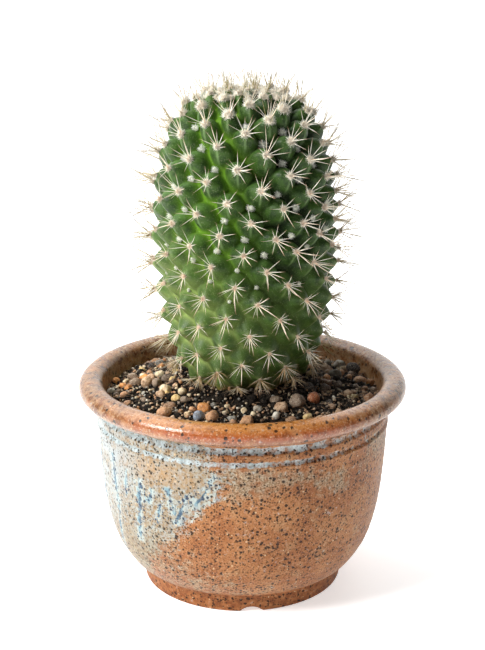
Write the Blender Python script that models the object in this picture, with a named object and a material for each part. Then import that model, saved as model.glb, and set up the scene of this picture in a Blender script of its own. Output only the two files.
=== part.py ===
"""Potted cactus: a column-shaped cactus in a stoneware pot of gritty potting mix.

Units are metres and +Z is up. The origin is under the middle of the pot, on the surface it stands
on. The photographed front of the pot faces -Y.
"""

import math
import random

import bmesh
import bpy
import numpy as np
from mathutils import Euler, Matrix, Vector
from mathutils.geometry import delaunay_2d_cdt

MM = 0.001
CLEARANCE = 0.35 * MM
SHARP_ANGLE = math.radians(38.0)

# Pot: a turned profile, as (radius, height)
POT_SEGMENTS = 40
RIM_RADIUS = 60.0 * MM
RIM_CENTRE_HEIGHT = 74.9 * MM
RIM_HALF_WIDTH = 4.45 * MM
RIM_HALF_HEIGHT = 3.7 * MM
RIM_DROOP = 0.15
RIM_SWEEP = (math.radians(-100.0), math.radians(185.0))
RIM_STEPS = 9
FOOT_BOTTOM_RADIUS = 36.9 * MM
FOOT_TOP_RADIUS = 37.9 * MM
FOOT_HEIGHT = 6.0 * MM
FOOT_INNER_RADIUS = 31.2 * MM
FOOT_EDGE = 0.6 * MM
BODY_POINTS = ((38.6, 7.0), (42.4, 10.2), (47.4, 18.0), (50.9, 30.5), (52.7, 45.5), (53.7, 61.4))
BODY_STEPS = 6
GROOVE_DEPTH = 1.1 * MM
GROOVE_EDGE = 0.7 * MM
LOWER_GROOVE = (61.9 * MM, 64.7 * MM)
UPPER_GROOVE = (66.4 * MM, 69.9 * MM)
GROOVE_WALL_RADIUS = 53.8 * MM
INNER_WALL_POINTS = ((34.0, 9.0), (39.2, 11.6), (43.9, 19.0), (47.2, 31.0), (49.2, 47.0), (50.6, 70.8))
INNER_WALL_STEPS = 6
FLOOR_TOP = 9.0 * MM
FLOOR_BOTTOM = 3.5 * MM
DRAIN_RADIUS = 6.0 * MM

# Arched notches in the foot ring, one of them just right of the front
NOTCH_COUNT = 3
NOTCH_WIDTH = 8.0 * MM
NOTCH_HEIGHT = 1.7 * MM
NOTCH_FIRST_ANGLE = math.radians(-85.0)
NOTCH_SEGMENTS = 20

# Potsherd over the drain hole
CROCK_RADIUS = 12.5 * MM
CROCK_THICKNESS = 3.0 * MM
CROCK_DOME = 0.8 * MM
CROCK_CORNERS = (1.0, 0.86, 0.97, 0.82, 0.94, 0.99, 0.84)
CROCK_CHAMFER = 0.92
CROCK_POCKET_GAP = 1.2 * MM

# Potting mix, mounded towards the stem, as (radius, height)
SOIL_SEGMENTS = 32
SOIL_EDGE = (49.9 * MM, 70.8 * MM)
SOIL_AT_STEM = 75.4 * MM
SOIL_MOUND_POWER = 1.6
SOIL_WALL_GAP = 0.45 * MM
SOIL_CRUMBS = 84
SOIL_ROUGHNESS = 0.5 * MM
SOIL_SEED = 41

# Pebbles bedded in the mix: each has a ring on the mix and a smaller ring on its top
PEBBLE_COUNT = 118
PEBBLE_TRIES = 9000
PEBBLE_RADII = (2.1 * MM, 4.1 * MM)
PEBBLE_RING = (22.0 * MM, 49.0 * MM)
PEBBLE_GAP = 0.35 * MM
PEBBLE_HEIGHTS = (0.65, 0.95)
LOW_PEBBLE_RADIUS = 27.5 * MM
LOW_PEBBLE_HEIGHT = 1.1 * MM
PEBBLE_WIDTHS = (0.74, 1.0)
PEBBLE_BASE_POINTS = 6
PEBBLE_TOP_POINTS = 4
PEBBLE_TOP_SIZE = (0.5, 0.72)
BARE_FRONT_HALF_ANGLE = 50.0
BARE_FRONT_REACH = 29.0 * MM

# Stem: the surface that the tubercles' tips lie on, as (radius, height)
STEM_AXIS_X = 0.9 * MM
STEM_SAMPLES = 900
STEM_POINTS = (
    (21.3, 77.2),
    (26.0, 84.9),
    (31.2, 101.7),
    (33.4, 120.6),
    (33.2, 139.7),
    (30.7, 157.9),
    (24.0, 173.6),
    (12.0, 181.6),
    (0.0, 182.2),
)
NECK_RADIUS = 18.8 * MM
NECK_TOP = 76.2 * MM
NECK_SEGMENTS = 24
NECK_BELOW_AREOLES = 4.5 * MM
ROOT_POINTS = ((18.8, 74.0), (17.6, 66.0), (12.0, 59.0), (7.0, 57.0))
ROOT_END = 57.0 * MM

# Spiral of the areoles: each is one turn step round and one rise further up the stem
TURN_STEP = math.radians(137.381)
FIRST_ANGLE = math.radians(-24.07)
FIRST_DISTANCE = 79.6 * MM
COLUMN_RISE = 0.525 * MM
DOME_RISE = 0.57 * MM
LOWEST_AREOLE = -148
CROWN_START = 55
CROWN_AREOLES = 20
JITTER = 0.3 * MM
STEM_SEED = 11

# A patch at the right where the spiral rows grew flatter
DRIFT_UP = 6.0 * MM
DRIFT_LEFT = 1.7 * MM
DRIFT_ANGLE = math.radians(59.0)
DRIFT_HEIGHT = 121.0 * MM
DRIFT_ANGLE_REACH = math.radians(42.0)
DRIFT_HEIGHT_REACH = 20.0 * MM

# Tubercles, areoles and spines, by height on the stem
HEIGHTS = (78.0 * MM, 100.0 * MM, 122.0 * MM, 165.0 * MM, 182.0 * MM)
TUBERCLE_DEPTHS = (2.6 * MM, 4.8 * MM, 6.4 * MM, 6.2 * MM, 4.2 * MM)
AREOLE_RADII = (1.0 * MM, 1.15 * MM, 1.35 * MM, 1.6 * MM, 1.5 * MM)
TUBERCLE_LEANS = (0.0, 0.15, 0.25, 0.25, 0.0)
TUBERCLE_WAIST = 0.56
TUBERCLE_BULGE = 0.16
AREOLE_TILT = 0.2
AREOLE_INNER = 0.42
AREOLE_CROWN = 0.3 * MM
RADIAL_REACHES = (0.74, 0.8, 0.82, 0.8, 0.6)
RADIAL_LONGEST = 5.6 * MM
RADIAL_LIFTS = (1.5 * MM, 1.3 * MM, 1.4 * MM, 2.2 * MM, 3.2 * MM)
CENTRAL_LENGTHS = (6.5 * MM, 7.5 * MM, 8.0 * MM, 8.5 * MM, 7.6 * MM)
CENTRAL_SLOPES = (-0.35, -0.35, -0.15, 0.2, 0.35)
CENTRAL_SPREAD = 0.22
SPINE_SOIL_HEIGHT = 77.3 * MM
SPINE_PEBBLE_HEIGHT = 79.4 * MM
SPINE_PEBBLE_RADIUS = 26.5 * MM


def remove_scene_objects():
    """Empty the scene that the script starts in."""
    for item in list(bpy.data.objects):
        bpy.data.objects.remove(item, do_unlink=True)


def make_material(name, colour, roughness):
    """Plain Principled material for one sub-part."""
    material = bpy.data.materials.new(name)
    material.use_nodes = True
    shader = material.node_tree.nodes["Principled BSDF"]
    shader.inputs["Base Color"].default_value = (*colour, 1.0)
    shader.inputs["Roughness"].default_value = roughness
    shader.inputs["Metallic"].default_value = 0.0
    material.diffuse_color = (*colour, 1.0)
    return material


def add_object(name, bm, material=None):
    """Turn a bmesh into a scene object with outward normals."""
    bmesh.ops.recalc_face_normals(bm, faces=bm.faces)
    mesh = bpy.data.meshes.new(name)
    bm.to_mesh(mesh)
    bm.free()
    if material is not None:
        mesh.materials.append(material)
    item = bpy.data.objects.new(name, mesh)
    bpy.context.scene.collection.objects.link(item)
    return item


def smooth_curve(points_mm, steps):
    """Points along a Catmull-Rom curve through a few (radius, height) points given in mm."""
    points = [np.array(point) * MM for point in points_mm]
    ends = [2 * points[0] - points[1]] + points + [2 * points[-1] - points[-2]]
    chords = [np.linalg.norm(b - a) for a, b in zip(points, points[1:])]
    knots = np.concatenate(([0.0], np.cumsum(chords)))
    curve = []
    for distance in np.linspace(0.0, knots[-1], steps + 1):
        span = min(int(np.searchsorted(knots, distance, side="right")) - 1, len(chords) - 1)
        t = (distance - knots[span]) / chords[span]
        before, start, end, after = ends[span:span + 4]
        # Tangents scaled to uneven chords, so that a long span doesn't bend a short one
        previous = np.linalg.norm(start - before)
        following = np.linalg.norm(after - end)
        slope_in = (end - before) * chords[span] / (chords[span] + previous)
        slope_out = (after - start) * chords[span] / (chords[span] + following)
        curve.append(
            (2 * t ** 3 - 3 * t ** 2 + 1) * start
            + (t ** 3 - 2 * t ** 2 + t) * slope_in
            + (3 * t ** 2 - 2 * t ** 3) * end
            + (t ** 3 - t ** 2) * slope_out
        )
    return [tuple(point) for point in curve]


def offset_inward(profile, distance):
    """Move a profile that runs up a wall towards the axis by a distance along its normals."""
    moved = []
    for index, (radius, height) in enumerate(profile):
        before = profile[max(index - 1, 0)]
        after = profile[min(index + 1, len(profile) - 1)]
        along = Vector((after[0] - before[0], after[1] - before[1])).normalized()
        moved.append((radius - along.y * distance, height + along.x * distance))
    return moved


def spin_profile(profile, segments, closed):
    """Revolve a (radius, height) profile round Z. Points on the axis are merged."""
    bm = bmesh.new()
    verts = [bm.verts.new((radius, 0.0, height)) for radius, height in profile]
    edges = [bm.edges.new(pair) for pair in zip(verts, verts[1:])]
    if closed:
        edges.append(bm.edges.new((verts[-1], verts[0])))
    bmesh.ops.spin(
        bm,
        geom=verts + edges,
        cent=(0.0, 0.0, 0.0),
        axis=(0.0, 0.0, 1.0),
        dvec=(0.0, 0.0, 0.0),
        angle=2.0 * math.pi,
        steps=segments,
        use_merge=True,
    )
    bmesh.ops.remove_doubles(bm, verts=bm.verts, dist=0.001 * MM)
    return bm


def apply_boolean(target, operation, cutters):
    """Apply one Boolean with every cutter, and remove the cutters."""
    group = bpy.data.collections.new(target.name + "_operands")
    bpy.context.scene.collection.children.link(group)
    for cutter in cutters:
        bpy.context.scene.collection.objects.unlink(cutter)
        group.objects.link(cutter)
    modifier = target.modifiers.new("join", "BOOLEAN")
    modifier.operation = operation
    modifier.operand_type = "COLLECTION"
    modifier.collection = group
    modifier.solver = "EXACT"
    graph = bpy.context.evaluated_depsgraph_get()
    result = bpy.data.meshes.new_from_object(target.evaluated_get(graph), depsgraph=graph)
    target.modifiers.clear()
    target.data = result
    for cutter in list(group.objects):
        bpy.data.objects.remove(cutter, do_unlink=True)
    bpy.data.collections.remove(group)


# Pot

def rim_profile():
    """Rolled rim: an ellipse that droops outwards, from its underside over the top to the inside."""
    points = []
    # Half-width of the tilted ellipse, which sets its centre
    reach = math.hypot(RIM_HALF_WIDTH * math.cos(RIM_DROOP), RIM_HALF_HEIGHT * math.sin(RIM_DROOP))
    centre_radius = RIM_RADIUS - reach
    for angle in np.linspace(*RIM_SWEEP, RIM_STEPS + 1):
        across = RIM_HALF_WIDTH * math.cos(angle)
        upward = RIM_HALF_HEIGHT * math.sin(angle)
        points.append((
            centre_radius + across * math.cos(RIM_DROOP) + upward * math.sin(RIM_DROOP),
            RIM_CENTRE_HEIGHT - across * math.sin(RIM_DROOP) + upward * math.cos(RIM_DROOP),
        ))
    # The outermost point sits exactly on the rim's radius
    outermost = max(range(len(points)), key=lambda index: points[index][0])
    points[outermost] = (RIM_RADIUS, points[outermost][1])
    return points


def groove_profile(low, high):
    """One turned groove between two heights, with sloping edges."""
    floor = GROOVE_WALL_RADIUS - GROOVE_DEPTH
    return [
        (GROOVE_WALL_RADIUS, low),
        (floor, low + GROOVE_EDGE),
        (floor, high - GROOVE_EDGE),
        (GROOVE_WALL_RADIUS, high),
    ]


def inner_wall():
    """Inside of the bowl, from the floor up to the mix's edge."""
    return smooth_curve(INNER_WALL_POINTS, INNER_WALL_STEPS)


def pot_profile():
    """Whole section of the pot, anticlockwise from the foot's outer edge."""
    outer_foot = [
        (FOOT_BOTTOM_RADIUS - FOOT_EDGE, 0.0),
        (FOOT_BOTTOM_RADIUS, FOOT_EDGE),
        (FOOT_TOP_RADIUS, FOOT_HEIGHT),
    ]
    body = smooth_curve(BODY_POINTS, BODY_STEPS)
    grooves = groove_profile(*LOWER_GROOVE) + groove_profile(*UPPER_GROOVE)
    inside = list(reversed(inner_wall()))
    underside = [
        (DRAIN_RADIUS, FLOOR_TOP),
        (DRAIN_RADIUS, FLOOR_BOTTOM),
        (FOOT_INNER_RADIUS - FOOT_EDGE, FLOOR_BOTTOM),
        (FOOT_INNER_RADIUS, 0.0),
    ]
    return outer_foot + body + grooves + rim_profile() + inside + underside


def notch_cutter(index):
    """Cylinder that lies across the foot ring and cuts one arch into its bottom."""
    radius = (NOTCH_WIDTH ** 2 / 4.0 + NOTCH_HEIGHT ** 2) / (2.0 * NOTCH_HEIGHT)
    angle = NOTCH_FIRST_ANGLE + index * 2.0 * math.pi / NOTCH_COUNT
    middle = (FOOT_BOTTOM_RADIUS + FOOT_INNER_RADIUS) / 2.0
    bm = bmesh.new()
    bmesh.ops.create_cone(
        bm,
        cap_ends=True,
        segments=NOTCH_SEGMENTS,
        radius1=radius,
        radius2=radius,
        depth=2.0 * (FOOT_TOP_RADIUS - FOOT_INNER_RADIUS),
        matrix=Matrix.Translation((middle, 0.0, NOTCH_HEIGHT - radius))
        @ Euler((0.0, math.pi / 2.0, 0.0)).to_matrix().to_4x4(),
    )
    bmesh.ops.rotate(bm, verts=bm.verts, matrix=Matrix.Rotation(angle, 3, "Z"))
    return add_object(f"notch_cutter_{index}", bm)


def build_pot():
    """Stoneware pot with a rolled rim, grooves, foot ring, notches and drain hole."""
    clay = make_material("stoneware", (0.50, 0.27, 0.15), 0.45)
    pot = add_object("pot", spin_profile(pot_profile(), POT_SEGMENTS, closed=True), clay)
    apply_boolean(pot, "DIFFERENCE", [notch_cutter(index) for index in range(NOTCH_COUNT)])
    pot.data.shade_smooth()
    pot.data.set_sharp_from_angle(angle=SHARP_ANGLE)
    return pot


# Drain crock

def build_drain_crock():
    """Broken potsherd, a little domed, that lies over the drain hole."""
    bm = bmesh.new()
    base = FLOOR_TOP + CLEARANCE
    count = len(CROCK_CORNERS)
    rings = []
    for scale, height in ((1.0, 0.0), (1.0, CROCK_THICKNESS * 0.7), (CROCK_CHAMFER, CROCK_THICKNESS)):
        ring = []
        for index, corner in enumerate(CROCK_CORNERS):
            angle = 2.0 * math.pi * index / count
            radius = CROCK_RADIUS * corner * scale
            ring.append(bm.verts.new((radius * math.cos(angle), radius * math.sin(angle), base + height)))
        rings.append(ring)
    for lower, upper in zip(rings, rings[1:]):
        for index in range(count):
            following = (index + 1) % count
            bm.faces.new((lower[index], lower[following], upper[following], upper[index]))
    for ring, height in ((rings[0], CROCK_DOME), (rings[-1], CROCK_THICKNESS + CROCK_DOME)):
        middle = bm.verts.new((0.0, 0.0, base + height))
        for index in range(count):
            bm.faces.new((ring[index], ring[(index + 1) % count], middle))
    return add_object("drain_crock", bm, make_material("potsherd", (0.46, 0.22, 0.12), 0.8))


# Potting mix

def soil_height(radius):
    """Height of the mix's mounded surface at a distance from the pot's axis."""
    across = min(max((radius - NECK_RADIUS) / (SOIL_EDGE[0] - NECK_RADIUS), 0.0), 1.0)
    return SOIL_AT_STEM + (SOIL_EDGE[1] - SOIL_AT_STEM) * across ** SOIL_MOUND_POWER


def stem_hole_radius():
    """Radius of the hole's corners at the neck, so that its flats keep the clearance."""
    return (NECK_RADIUS + CLEARANCE) / math.cos(math.pi / SOIL_SEGMENTS)


def soil_section():
    """Section of the mix below its open surface, from the outer edge round to the stem hole's mouth."""
    wall = offset_inward(inner_wall(), SOIL_WALL_GAP)
    pocket_radius = CROCK_RADIUS + CROCK_POCKET_GAP
    pocket_top = FLOOR_TOP + CLEARANCE + CROCK_THICKNESS + CROCK_DOME + CLEARANCE
    hole_gap = stem_hole_radius() - NECK_RADIUS
    down_the_wall = [SOIL_EDGE] + [point for point in reversed(wall) if point[1] < SOIL_EDGE[1] - MM]
    bottom = [(pocket_radius, wall[0][1]), (pocket_radius, pocket_top), (0.0, pocket_top)]
    hole = [(0.0, ROOT_END - CLEARANCE)]
    for radius, height in reversed(ROOT_POINTS):
        hole.append((radius * MM + hole_gap, height * MM - CLEARANCE))
    hole.append((stem_hole_radius(), SOIL_AT_STEM))
    return down_the_wall + bottom, hole


def pebble_places(rng):
    """Centres and radii of pebbles that stand clear of each other on the mix."""
    places = []
    for _ in range(PEBBLE_TRIES):
        if len(places) == PEBBLE_COUNT:
            break
        size = rng.uniform(*PEBBLE_RADII)
        inner = PEBBLE_RING[0] + size
        outer = PEBBLE_RING[1] - size
        radius = math.sqrt(rng.uniform(inner ** 2, outer ** 2))
        angle = rng.uniform(-math.pi, math.pi)
        from_front = abs(math.degrees(math.atan2(math.cos(angle), -math.sin(angle))))
        if from_front < BARE_FRONT_HALF_ANGLE and radius < BARE_FRONT_REACH:
            continue
        x, y = radius * math.cos(angle), radius * math.sin(angle)
        if all(math.hypot(x - other[0], y - other[1]) > size + other[2] + PEBBLE_GAP for other in places):
            places.append((x, y, size))
    return places


def pebble_points(place, rng):
    """Raised points of one worn pebble, as (x, y, z): its ring on the mix, then its top."""
    x, y, size = place
    turn = rng.uniform(0.0, math.tau)
    long_way = rng.uniform(0.0, math.pi)
    width = rng.uniform(*PEBBLE_WIDTHS)
    ground = soil_height(math.hypot(x, y))
    height = size * rng.uniform(*PEBBLE_HEIGHTS)
    if math.hypot(x, y) - size < LOW_PEBBLE_RADIUS:
        # Under the lowest spines the pebbles lie deeper in the mix
        height = min(height, LOW_PEBBLE_HEIGHT)
    points = []
    for count, low, high, raised in (
        (PEBBLE_BASE_POINTS, 0.9, 1.0, 0.0),
        (PEBBLE_TOP_POINTS, *PEBBLE_TOP_SIZE, 1.0),
    ):
        for index in range(count):
            angle = turn + math.tau * (index + rng.uniform(-0.12, 0.12)) / count
            stretch = math.hypot(math.cos(angle - long_way), width * math.sin(angle - long_way))
            radius = size * rng.uniform(low, high) * stretch
            point_x, point_y = x + radius * math.cos(angle), y + radius * math.sin(angle)
            rise = height * rng.uniform(0.75, 1.0) if raised else 0.0
            points.append((point_x, point_y, ground + rise))
    return points


def crumb_points(places, rng):
    """Small lumps of the mix between the pebbles."""
    points = []
    while len(points) < SOIL_CRUMBS:
        radius = rng.uniform(NECK_RADIUS + 2.5 * MM, SOIL_EDGE[0] - 2.0 * MM)
        angle = rng.uniform(-math.pi, math.pi)
        x, y = radius * math.cos(angle), radius * math.sin(angle)
        clear = all(math.hypot(x - other[0], y - other[1]) > other[2] + 0.8 * MM for other in places)
        apart = all(math.hypot(x - other[0], y - other[1]) > 2.5 * MM for other in points)
        if clear and apart:
            points.append((x, y, soil_height(radius) + rng.uniform(-SOIL_ROUGHNESS, SOIL_ROUGHNESS)))
    return points


def add_soil_top(bm, outer_ring, inner_ring, rng):
    """Open surface of the mix: one triangulated sheet with the pebbles raised out of it."""
    places = pebble_places(rng)
    points = [tuple(vert.co) for vert in outer_ring + inner_ring]
    for place in places:
        points += pebble_points(place, rng)
    points += crumb_points(places, rng)
    edges = []
    for start, ring in ((0, outer_ring), (len(outer_ring), inner_ring)):
        edges += [(start + index, start + (index + 1) % len(ring)) for index in range(len(ring))]
    flat = [Vector(point[:2]) for point in points]
    _, _, faces, origins, _, _ = delaunay_2d_cdt(flat, edges, [], 0, 1e-9)
    verts = outer_ring + inner_ring + [bm.verts.new(point) for point in points[len(edges):]]
    inner = set(range(len(outer_ring), len(edges)))
    for face in faces:
        corners = [origins[vert][0] for vert in face]
        if not inner.issuperset(corners):
            bm.faces.new([verts[corner] for corner in corners])


def build_soil():
    """Potting mix that fills the pot, with a plain hole for the stem and pebbles on its top."""
    below, hole = soil_section()
    bm = spin_profile(below, SOIL_SEGMENTS, closed=False)
    stem_hole = spin_profile(hole, SOIL_SEGMENTS, closed=False)
    bmesh.ops.translate(stem_hole, verts=stem_hole.verts, vec=(STEM_AXIS_X, 0.0, 0.0))
    joined = bpy.data.meshes.new("stem_hole")
    stem_hole.to_mesh(joined)
    stem_hole.free()
    bm.from_mesh(joined)
    bpy.data.meshes.remove(joined)
    rims = [vert for vert in bm.verts if vert.is_boundary]
    by_angle = sorted(rims, key=lambda vert: math.atan2(vert.co.y, vert.co.x))
    outer_ring = [vert for vert in by_angle if math.hypot(vert.co.x, vert.co.y) > SOIL_EDGE[0] - MM]
    inner_ring = [vert for vert in by_angle if vert not in outer_ring]
    add_soil_top(bm, outer_ring, inner_ring, random.Random(SOIL_SEED))
    soil = add_object("soil", bm, make_material("potting_mix", (0.10, 0.07, 0.05), 0.95))
    soil.data.shade_flat()
    return soil


# Cactus

class StemSurface:
    """Surface of revolution through the tubercles' tips, measured by distance along its outline."""

    def __init__(self):
        outline = np.array(smooth_curve(STEM_POINTS, STEM_SAMPLES))
        outline[:, 0] = np.maximum(outline[:, 0], 0.0)
        chords = np.hypot(*np.diff(outline, axis=0).T)
        self.distance = np.concatenate(([0.0], np.cumsum(chords)))
        self.radius, self.height = outline.T
        middles = np.maximum((self.radius[1:] + self.radius[:-1]) / 2.0, 0.2 * MM)
        self.shrink = np.concatenate(([0.0], np.cumsum(chords / middles)))
        self.length = float(self.distance[-1])

    def radius_at(self, distance):
        return float(np.interp(distance, self.distance, self.radius))

    def height_at(self, distance):
        return float(np.interp(distance, self.distance, self.height))

    def distance_at_radius(self, radius):
        """Distance on the dome, where the outline runs in to the axis."""
        widest = int(np.argmax(self.radius))
        return float(np.interp(-radius, -self.radius[widest:], self.distance[widest:]))

    def frame_at(self, distance, angle):
        """Point, outward normal and upward tangent. Angle 0 is the front, at -Y."""
        step = 0.5 * MM
        low = max(distance - step, 0.0)
        high = min(distance + step, self.length)
        along = Vector((
            self.radius_at(high) - self.radius_at(low),
            self.height_at(high) - self.height_at(low),
        )).normalized()
        outward = Vector((math.sin(angle), -math.cos(angle), 0.0))
        radius = self.radius_at(distance)
        point = outward * radius + Vector((STEM_AXIS_X, 0.0, self.height_at(distance)))
        normal = outward * along.y - Vector((0.0, 0.0, along.x))
        upward = outward * along.x + Vector((0.0, 0.0, along.y))
        return point, normal, upward

    def flat_position(self, distance, angle):
        """Place in a plane map that keeps angles, with the apex in the middle."""
        scale = math.exp(-float(np.interp(distance, self.distance, self.shrink)))
        return Vector((scale * math.sin(angle), -scale * math.cos(angle)))


def areole_places(stem, rng):
    """Distance and angle of every areole, from the lowest to the apex."""
    crown_distance = FIRST_DISTANCE + CROWN_START * DOME_RISE
    crown_radius = stem.radius_at(crown_distance)
    places = []
    for index in range(LOWEST_AREOLE, CROWN_START + CROWN_AREOLES):
        if index < 0:
            distance = FIRST_DISTANCE + index * COLUMN_RISE
        elif index < CROWN_START:
            distance = FIRST_DISTANCE + index * DOME_RISE
        else:
            left = 1.0 - (index - CROWN_START + 0.5) / (CROWN_AREOLES + 0.5)
            distance = stem.distance_at_radius(crown_radius * math.sqrt(left))
        angle = math.remainder(FIRST_ANGLE + index * TURN_STEP, math.tau)
        patch = math.exp(
            -((angle - DRIFT_ANGLE) / DRIFT_ANGLE_REACH) ** 2
            - ((stem.height_at(distance) - DRIFT_HEIGHT) / DRIFT_HEIGHT_REACH) ** 2
        )
        radius = stem.radius_at(distance)
        distance += DRIFT_UP * patch + rng.uniform(-JITTER, JITTER)
        angle += (rng.uniform(-JITTER, JITTER) - DRIFT_LEFT * patch) / max(radius, 4.0 * MM)
        places.append((distance, angle))
    return places


def by_height(values, height):
    """A value that changes along the stem, read at a height."""
    return float(np.interp(height, HEIGHTS, values))


def bend_clear(tip):
    """Raise a spine's tip where it would touch the mix or its pebbles."""
    radius = math.hypot(tip.x, tip.y)
    lowest = SPINE_PEBBLE_HEIGHT if radius > SPINE_PEBBLE_RADIUS else SPINE_SOIL_HEIGHT
    tip.z = max(tip.z, lowest)
    return tip


class Areole:
    """One tubercle with its areole and spines."""

    def __init__(self, stem, distance, angle):
        self.tip, self.normal, self.upward = stem.frame_at(distance, angle)
        height = self.tip.z
        depth = by_height(TUBERCLE_DEPTHS, height)
        lean = depth * by_height(TUBERCLE_LEANS, height)
        self.depth = depth
        self.base = self.tip - self.normal * depth - self.upward * lean
        self.facing = (self.normal + self.upward * AREOLE_TILT).normalized()

    def build(self, bm, corners, rng):
        """Add the tubercle's flanks, its areole and the spines. Corners run anticlockwise."""
        count = len(corners)
        waist = []
        rim = []
        height = self.tip.z
        pad_radius = by_height(AREOLE_RADII, height)
        corner_points = [corner.co.copy() for corner in corners]
        for index, point in enumerate(corner_points):
            following = corner_points[(index + 1) % count]
            bulge = self.normal * self.depth * TUBERCLE_BULGE
            waist.append(bm.verts.new(point.lerp(self.tip, TUBERCLE_WAIST) + bulge))
            edge_middle = (point + following) / 2.0
            outward = self.flatten(edge_middle - self.tip).normalized()
            rim.append(bm.verts.new(self.tip + outward * pad_radius - self.facing * AREOLE_CROWN))
        for index in range(count):
            following = (index + 1) % count
            bm.faces.new((corners[index], corners[following], waist[following], waist[index]))
            bm.faces.new((waist[index], waist[following], rim[index]))
            bm.faces.new((waist[following], rim[following], rim[index]))
        self.add_spines(bm, rim, corner_points, pad_radius, rng)

    def flatten(self, direction):
        """Part of a direction that lies in the areole's plane."""
        return direction - self.facing * direction.dot(self.facing)

    def add_spines(self, bm, rim, corner_points, pad_radius, rng):
        """Cap the areole with facets, each drawn out into a spine, and a central spine."""
        count = len(rim)
        height = self.tip.z
        starts = [0, round(count / 3.0), round(2.0 * count / 3.0)]
        inner = []
        for start, end in zip(starts, starts[1:] + [count]):
            group = [rim[index % count].co for index in range(start, end + 1)]
            middle = sum(group, Vector()) / len(group)
            outward = self.flatten(middle - self.tip).normalized()
            inner.append(bm.verts.new(self.tip + outward * pad_radius * AREOLE_INNER))
        owner = [max(group for group in range(3) if starts[group] <= index) for index in range(count)]
        lift = by_height(RADIAL_LIFTS, height)
        for index in range(count):
            # The facet between two rim points faces the corner between its two neighbours
            facet = (rim[index], rim[(index + 1) % count], inner[owner[index]])
            aim = self.flatten(corner_points[(index + 1) % count] - self.tip)
            reach = min(aim.length * by_height(RADIAL_REACHES, height), RADIAL_LONGEST)
            tip = self.tip + aim.normalized() * reach + self.facing * lift * rng.uniform(0.8, 1.2)
            self.draw_out(bm, facet, tip)
        for group in range(3):
            bm.faces.new((rim[starts[group]], inner[group], inner[group - 1]))
        slope = by_height(CENTRAL_SLOPES, height)
        sideways = self.normal.cross(self.upward)
        direction = (
            self.normal
            + self.upward * (slope + rng.uniform(-CENTRAL_SPREAD, CENTRAL_SPREAD))
            + sideways * rng.uniform(-CENTRAL_SPREAD, CENTRAL_SPREAD)
        ).normalized()
        length = by_height(CENTRAL_LENGTHS, height) * rng.uniform(0.9, 1.1)
        self.draw_out(bm, inner, self.tip + direction * length)

    def draw_out(self, bm, facet, tip):
        """Spine: a facet drawn out to a point."""
        point = bm.verts.new(bend_clear(tip))
        for index in range(3):
            bm.faces.new((facet[index], facet[(index + 1) % 3], point))


def neighbour_triangles(stem, places):
    """Delaunay triangles between the areoles and the neck's ring, found in the plane map."""
    ring_scale = math.exp(NECK_BELOW_AREOLES / NECK_RADIUS)
    flat = [stem.flat_position(*place) for place in places]
    for index in range(NECK_SEGMENTS):
        angle = math.tau * index / NECK_SEGMENTS
        flat.append(Vector((ring_scale * math.sin(angle), -ring_scale * math.cos(angle))))
    _, _, faces, origins, _, _ = delaunay_2d_cdt(flat, [], [], 0, 1e-9)
    return [tuple(origins[vert][0] for vert in face) for face in faces]


def neck_ring(bm, radius, height):
    """Ring of points round the stem's axis."""
    ring = []
    for index in range(NECK_SEGMENTS):
        angle = math.tau * index / NECK_SEGMENTS
        place = (STEM_AXIS_X + radius * math.sin(angle), -radius * math.cos(angle), height)
        ring.append(bm.verts.new(place))
    return ring


def build_root(bm, ring):
    """Plain neck and root that stand in the mix's hole, closed at the bottom."""
    for radius, height in ROOT_POINTS:
        lower = neck_ring(bm, radius * MM, height * MM)
        for index in range(NECK_SEGMENTS):
            following = (index + 1) % NECK_SEGMENTS
            bm.faces.new((ring[index], lower[index], lower[following], ring[following]))
        ring = lower
    bm.faces.new(list(reversed(ring)))


def surrounding_valleys(number, left_of, triangles, valleys):
    """Valley points round one areole, anticlockwise."""
    start = next(side for side in left_of if side[0] == number)
    corners = []
    side = start
    while True:
        triangle = left_of[side]
        corners.append(valleys[triangle])
        third = next(vert for vert in triangles[triangle] if vert not in side)
        side = (number, third)
        if side == start:
            return corners


def build_cactus():
    """Cactus stem: cells between neighbouring areoles, each raised into a spiny tubercle."""
    rng = random.Random(STEM_SEED)
    stem = StemSurface()
    places = areole_places(stem, rng)
    areoles = [Areole(stem, distance, angle) for distance, angle in places]
    bm = bmesh.new()
    ring = neck_ring(bm, NECK_RADIUS, NECK_TOP)
    bases = [areole.base for areole in areoles] + [vert.co.copy() for vert in ring]
    triangles = neighbour_triangles(stem, places)
    valleys = [
        bm.verts.new(sum((bases[vert] for vert in triangle), Vector()) / 3.0)
        for triangle in triangles
    ]
    # Each directed side of a triangle leads to the triangle on its left
    left_of = {}
    for number, triangle in enumerate(triangles):
        for index in range(3):
            left_of[(triangle[index], triangle[(index + 1) % 3])] = number
    for number, areole in enumerate(areoles):
        areole.build(bm, surrounding_valleys(number, left_of, triangles, valleys), rng)
    first_ring = len(areoles)
    for (tail, head), number in left_of.items():
        if tail < first_ring:
            continue
        opposite = left_of.get((head, tail))
        if opposite is None:
            bm.faces.new((ring[tail - first_ring], ring[head - first_ring], valleys[number]))
        else:
            bm.faces.new((ring[tail - first_ring], valleys[opposite], valleys[number]))
    build_root(bm, ring)
    return add_object("cactus", bm, make_material("cactus_skin", (0.07, 0.20, 0.05), 0.5))


def main():
    remove_scene_objects()
    build_pot()
    build_drain_crock()
    build_soil()
    build_cactus()


main()
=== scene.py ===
"""Potted cactus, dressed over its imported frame: a glazed stoneware pot, a gritty potting mix and a
column-shaped cactus with woolly areoles and fine spines.

Lengths are in metres and +Z is up. Angle 0 is the front, at -Y, and angles grow towards +X.
"""

import math
import random

import bmesh
import bpy
import numpy as np
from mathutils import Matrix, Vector, noise

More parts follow.
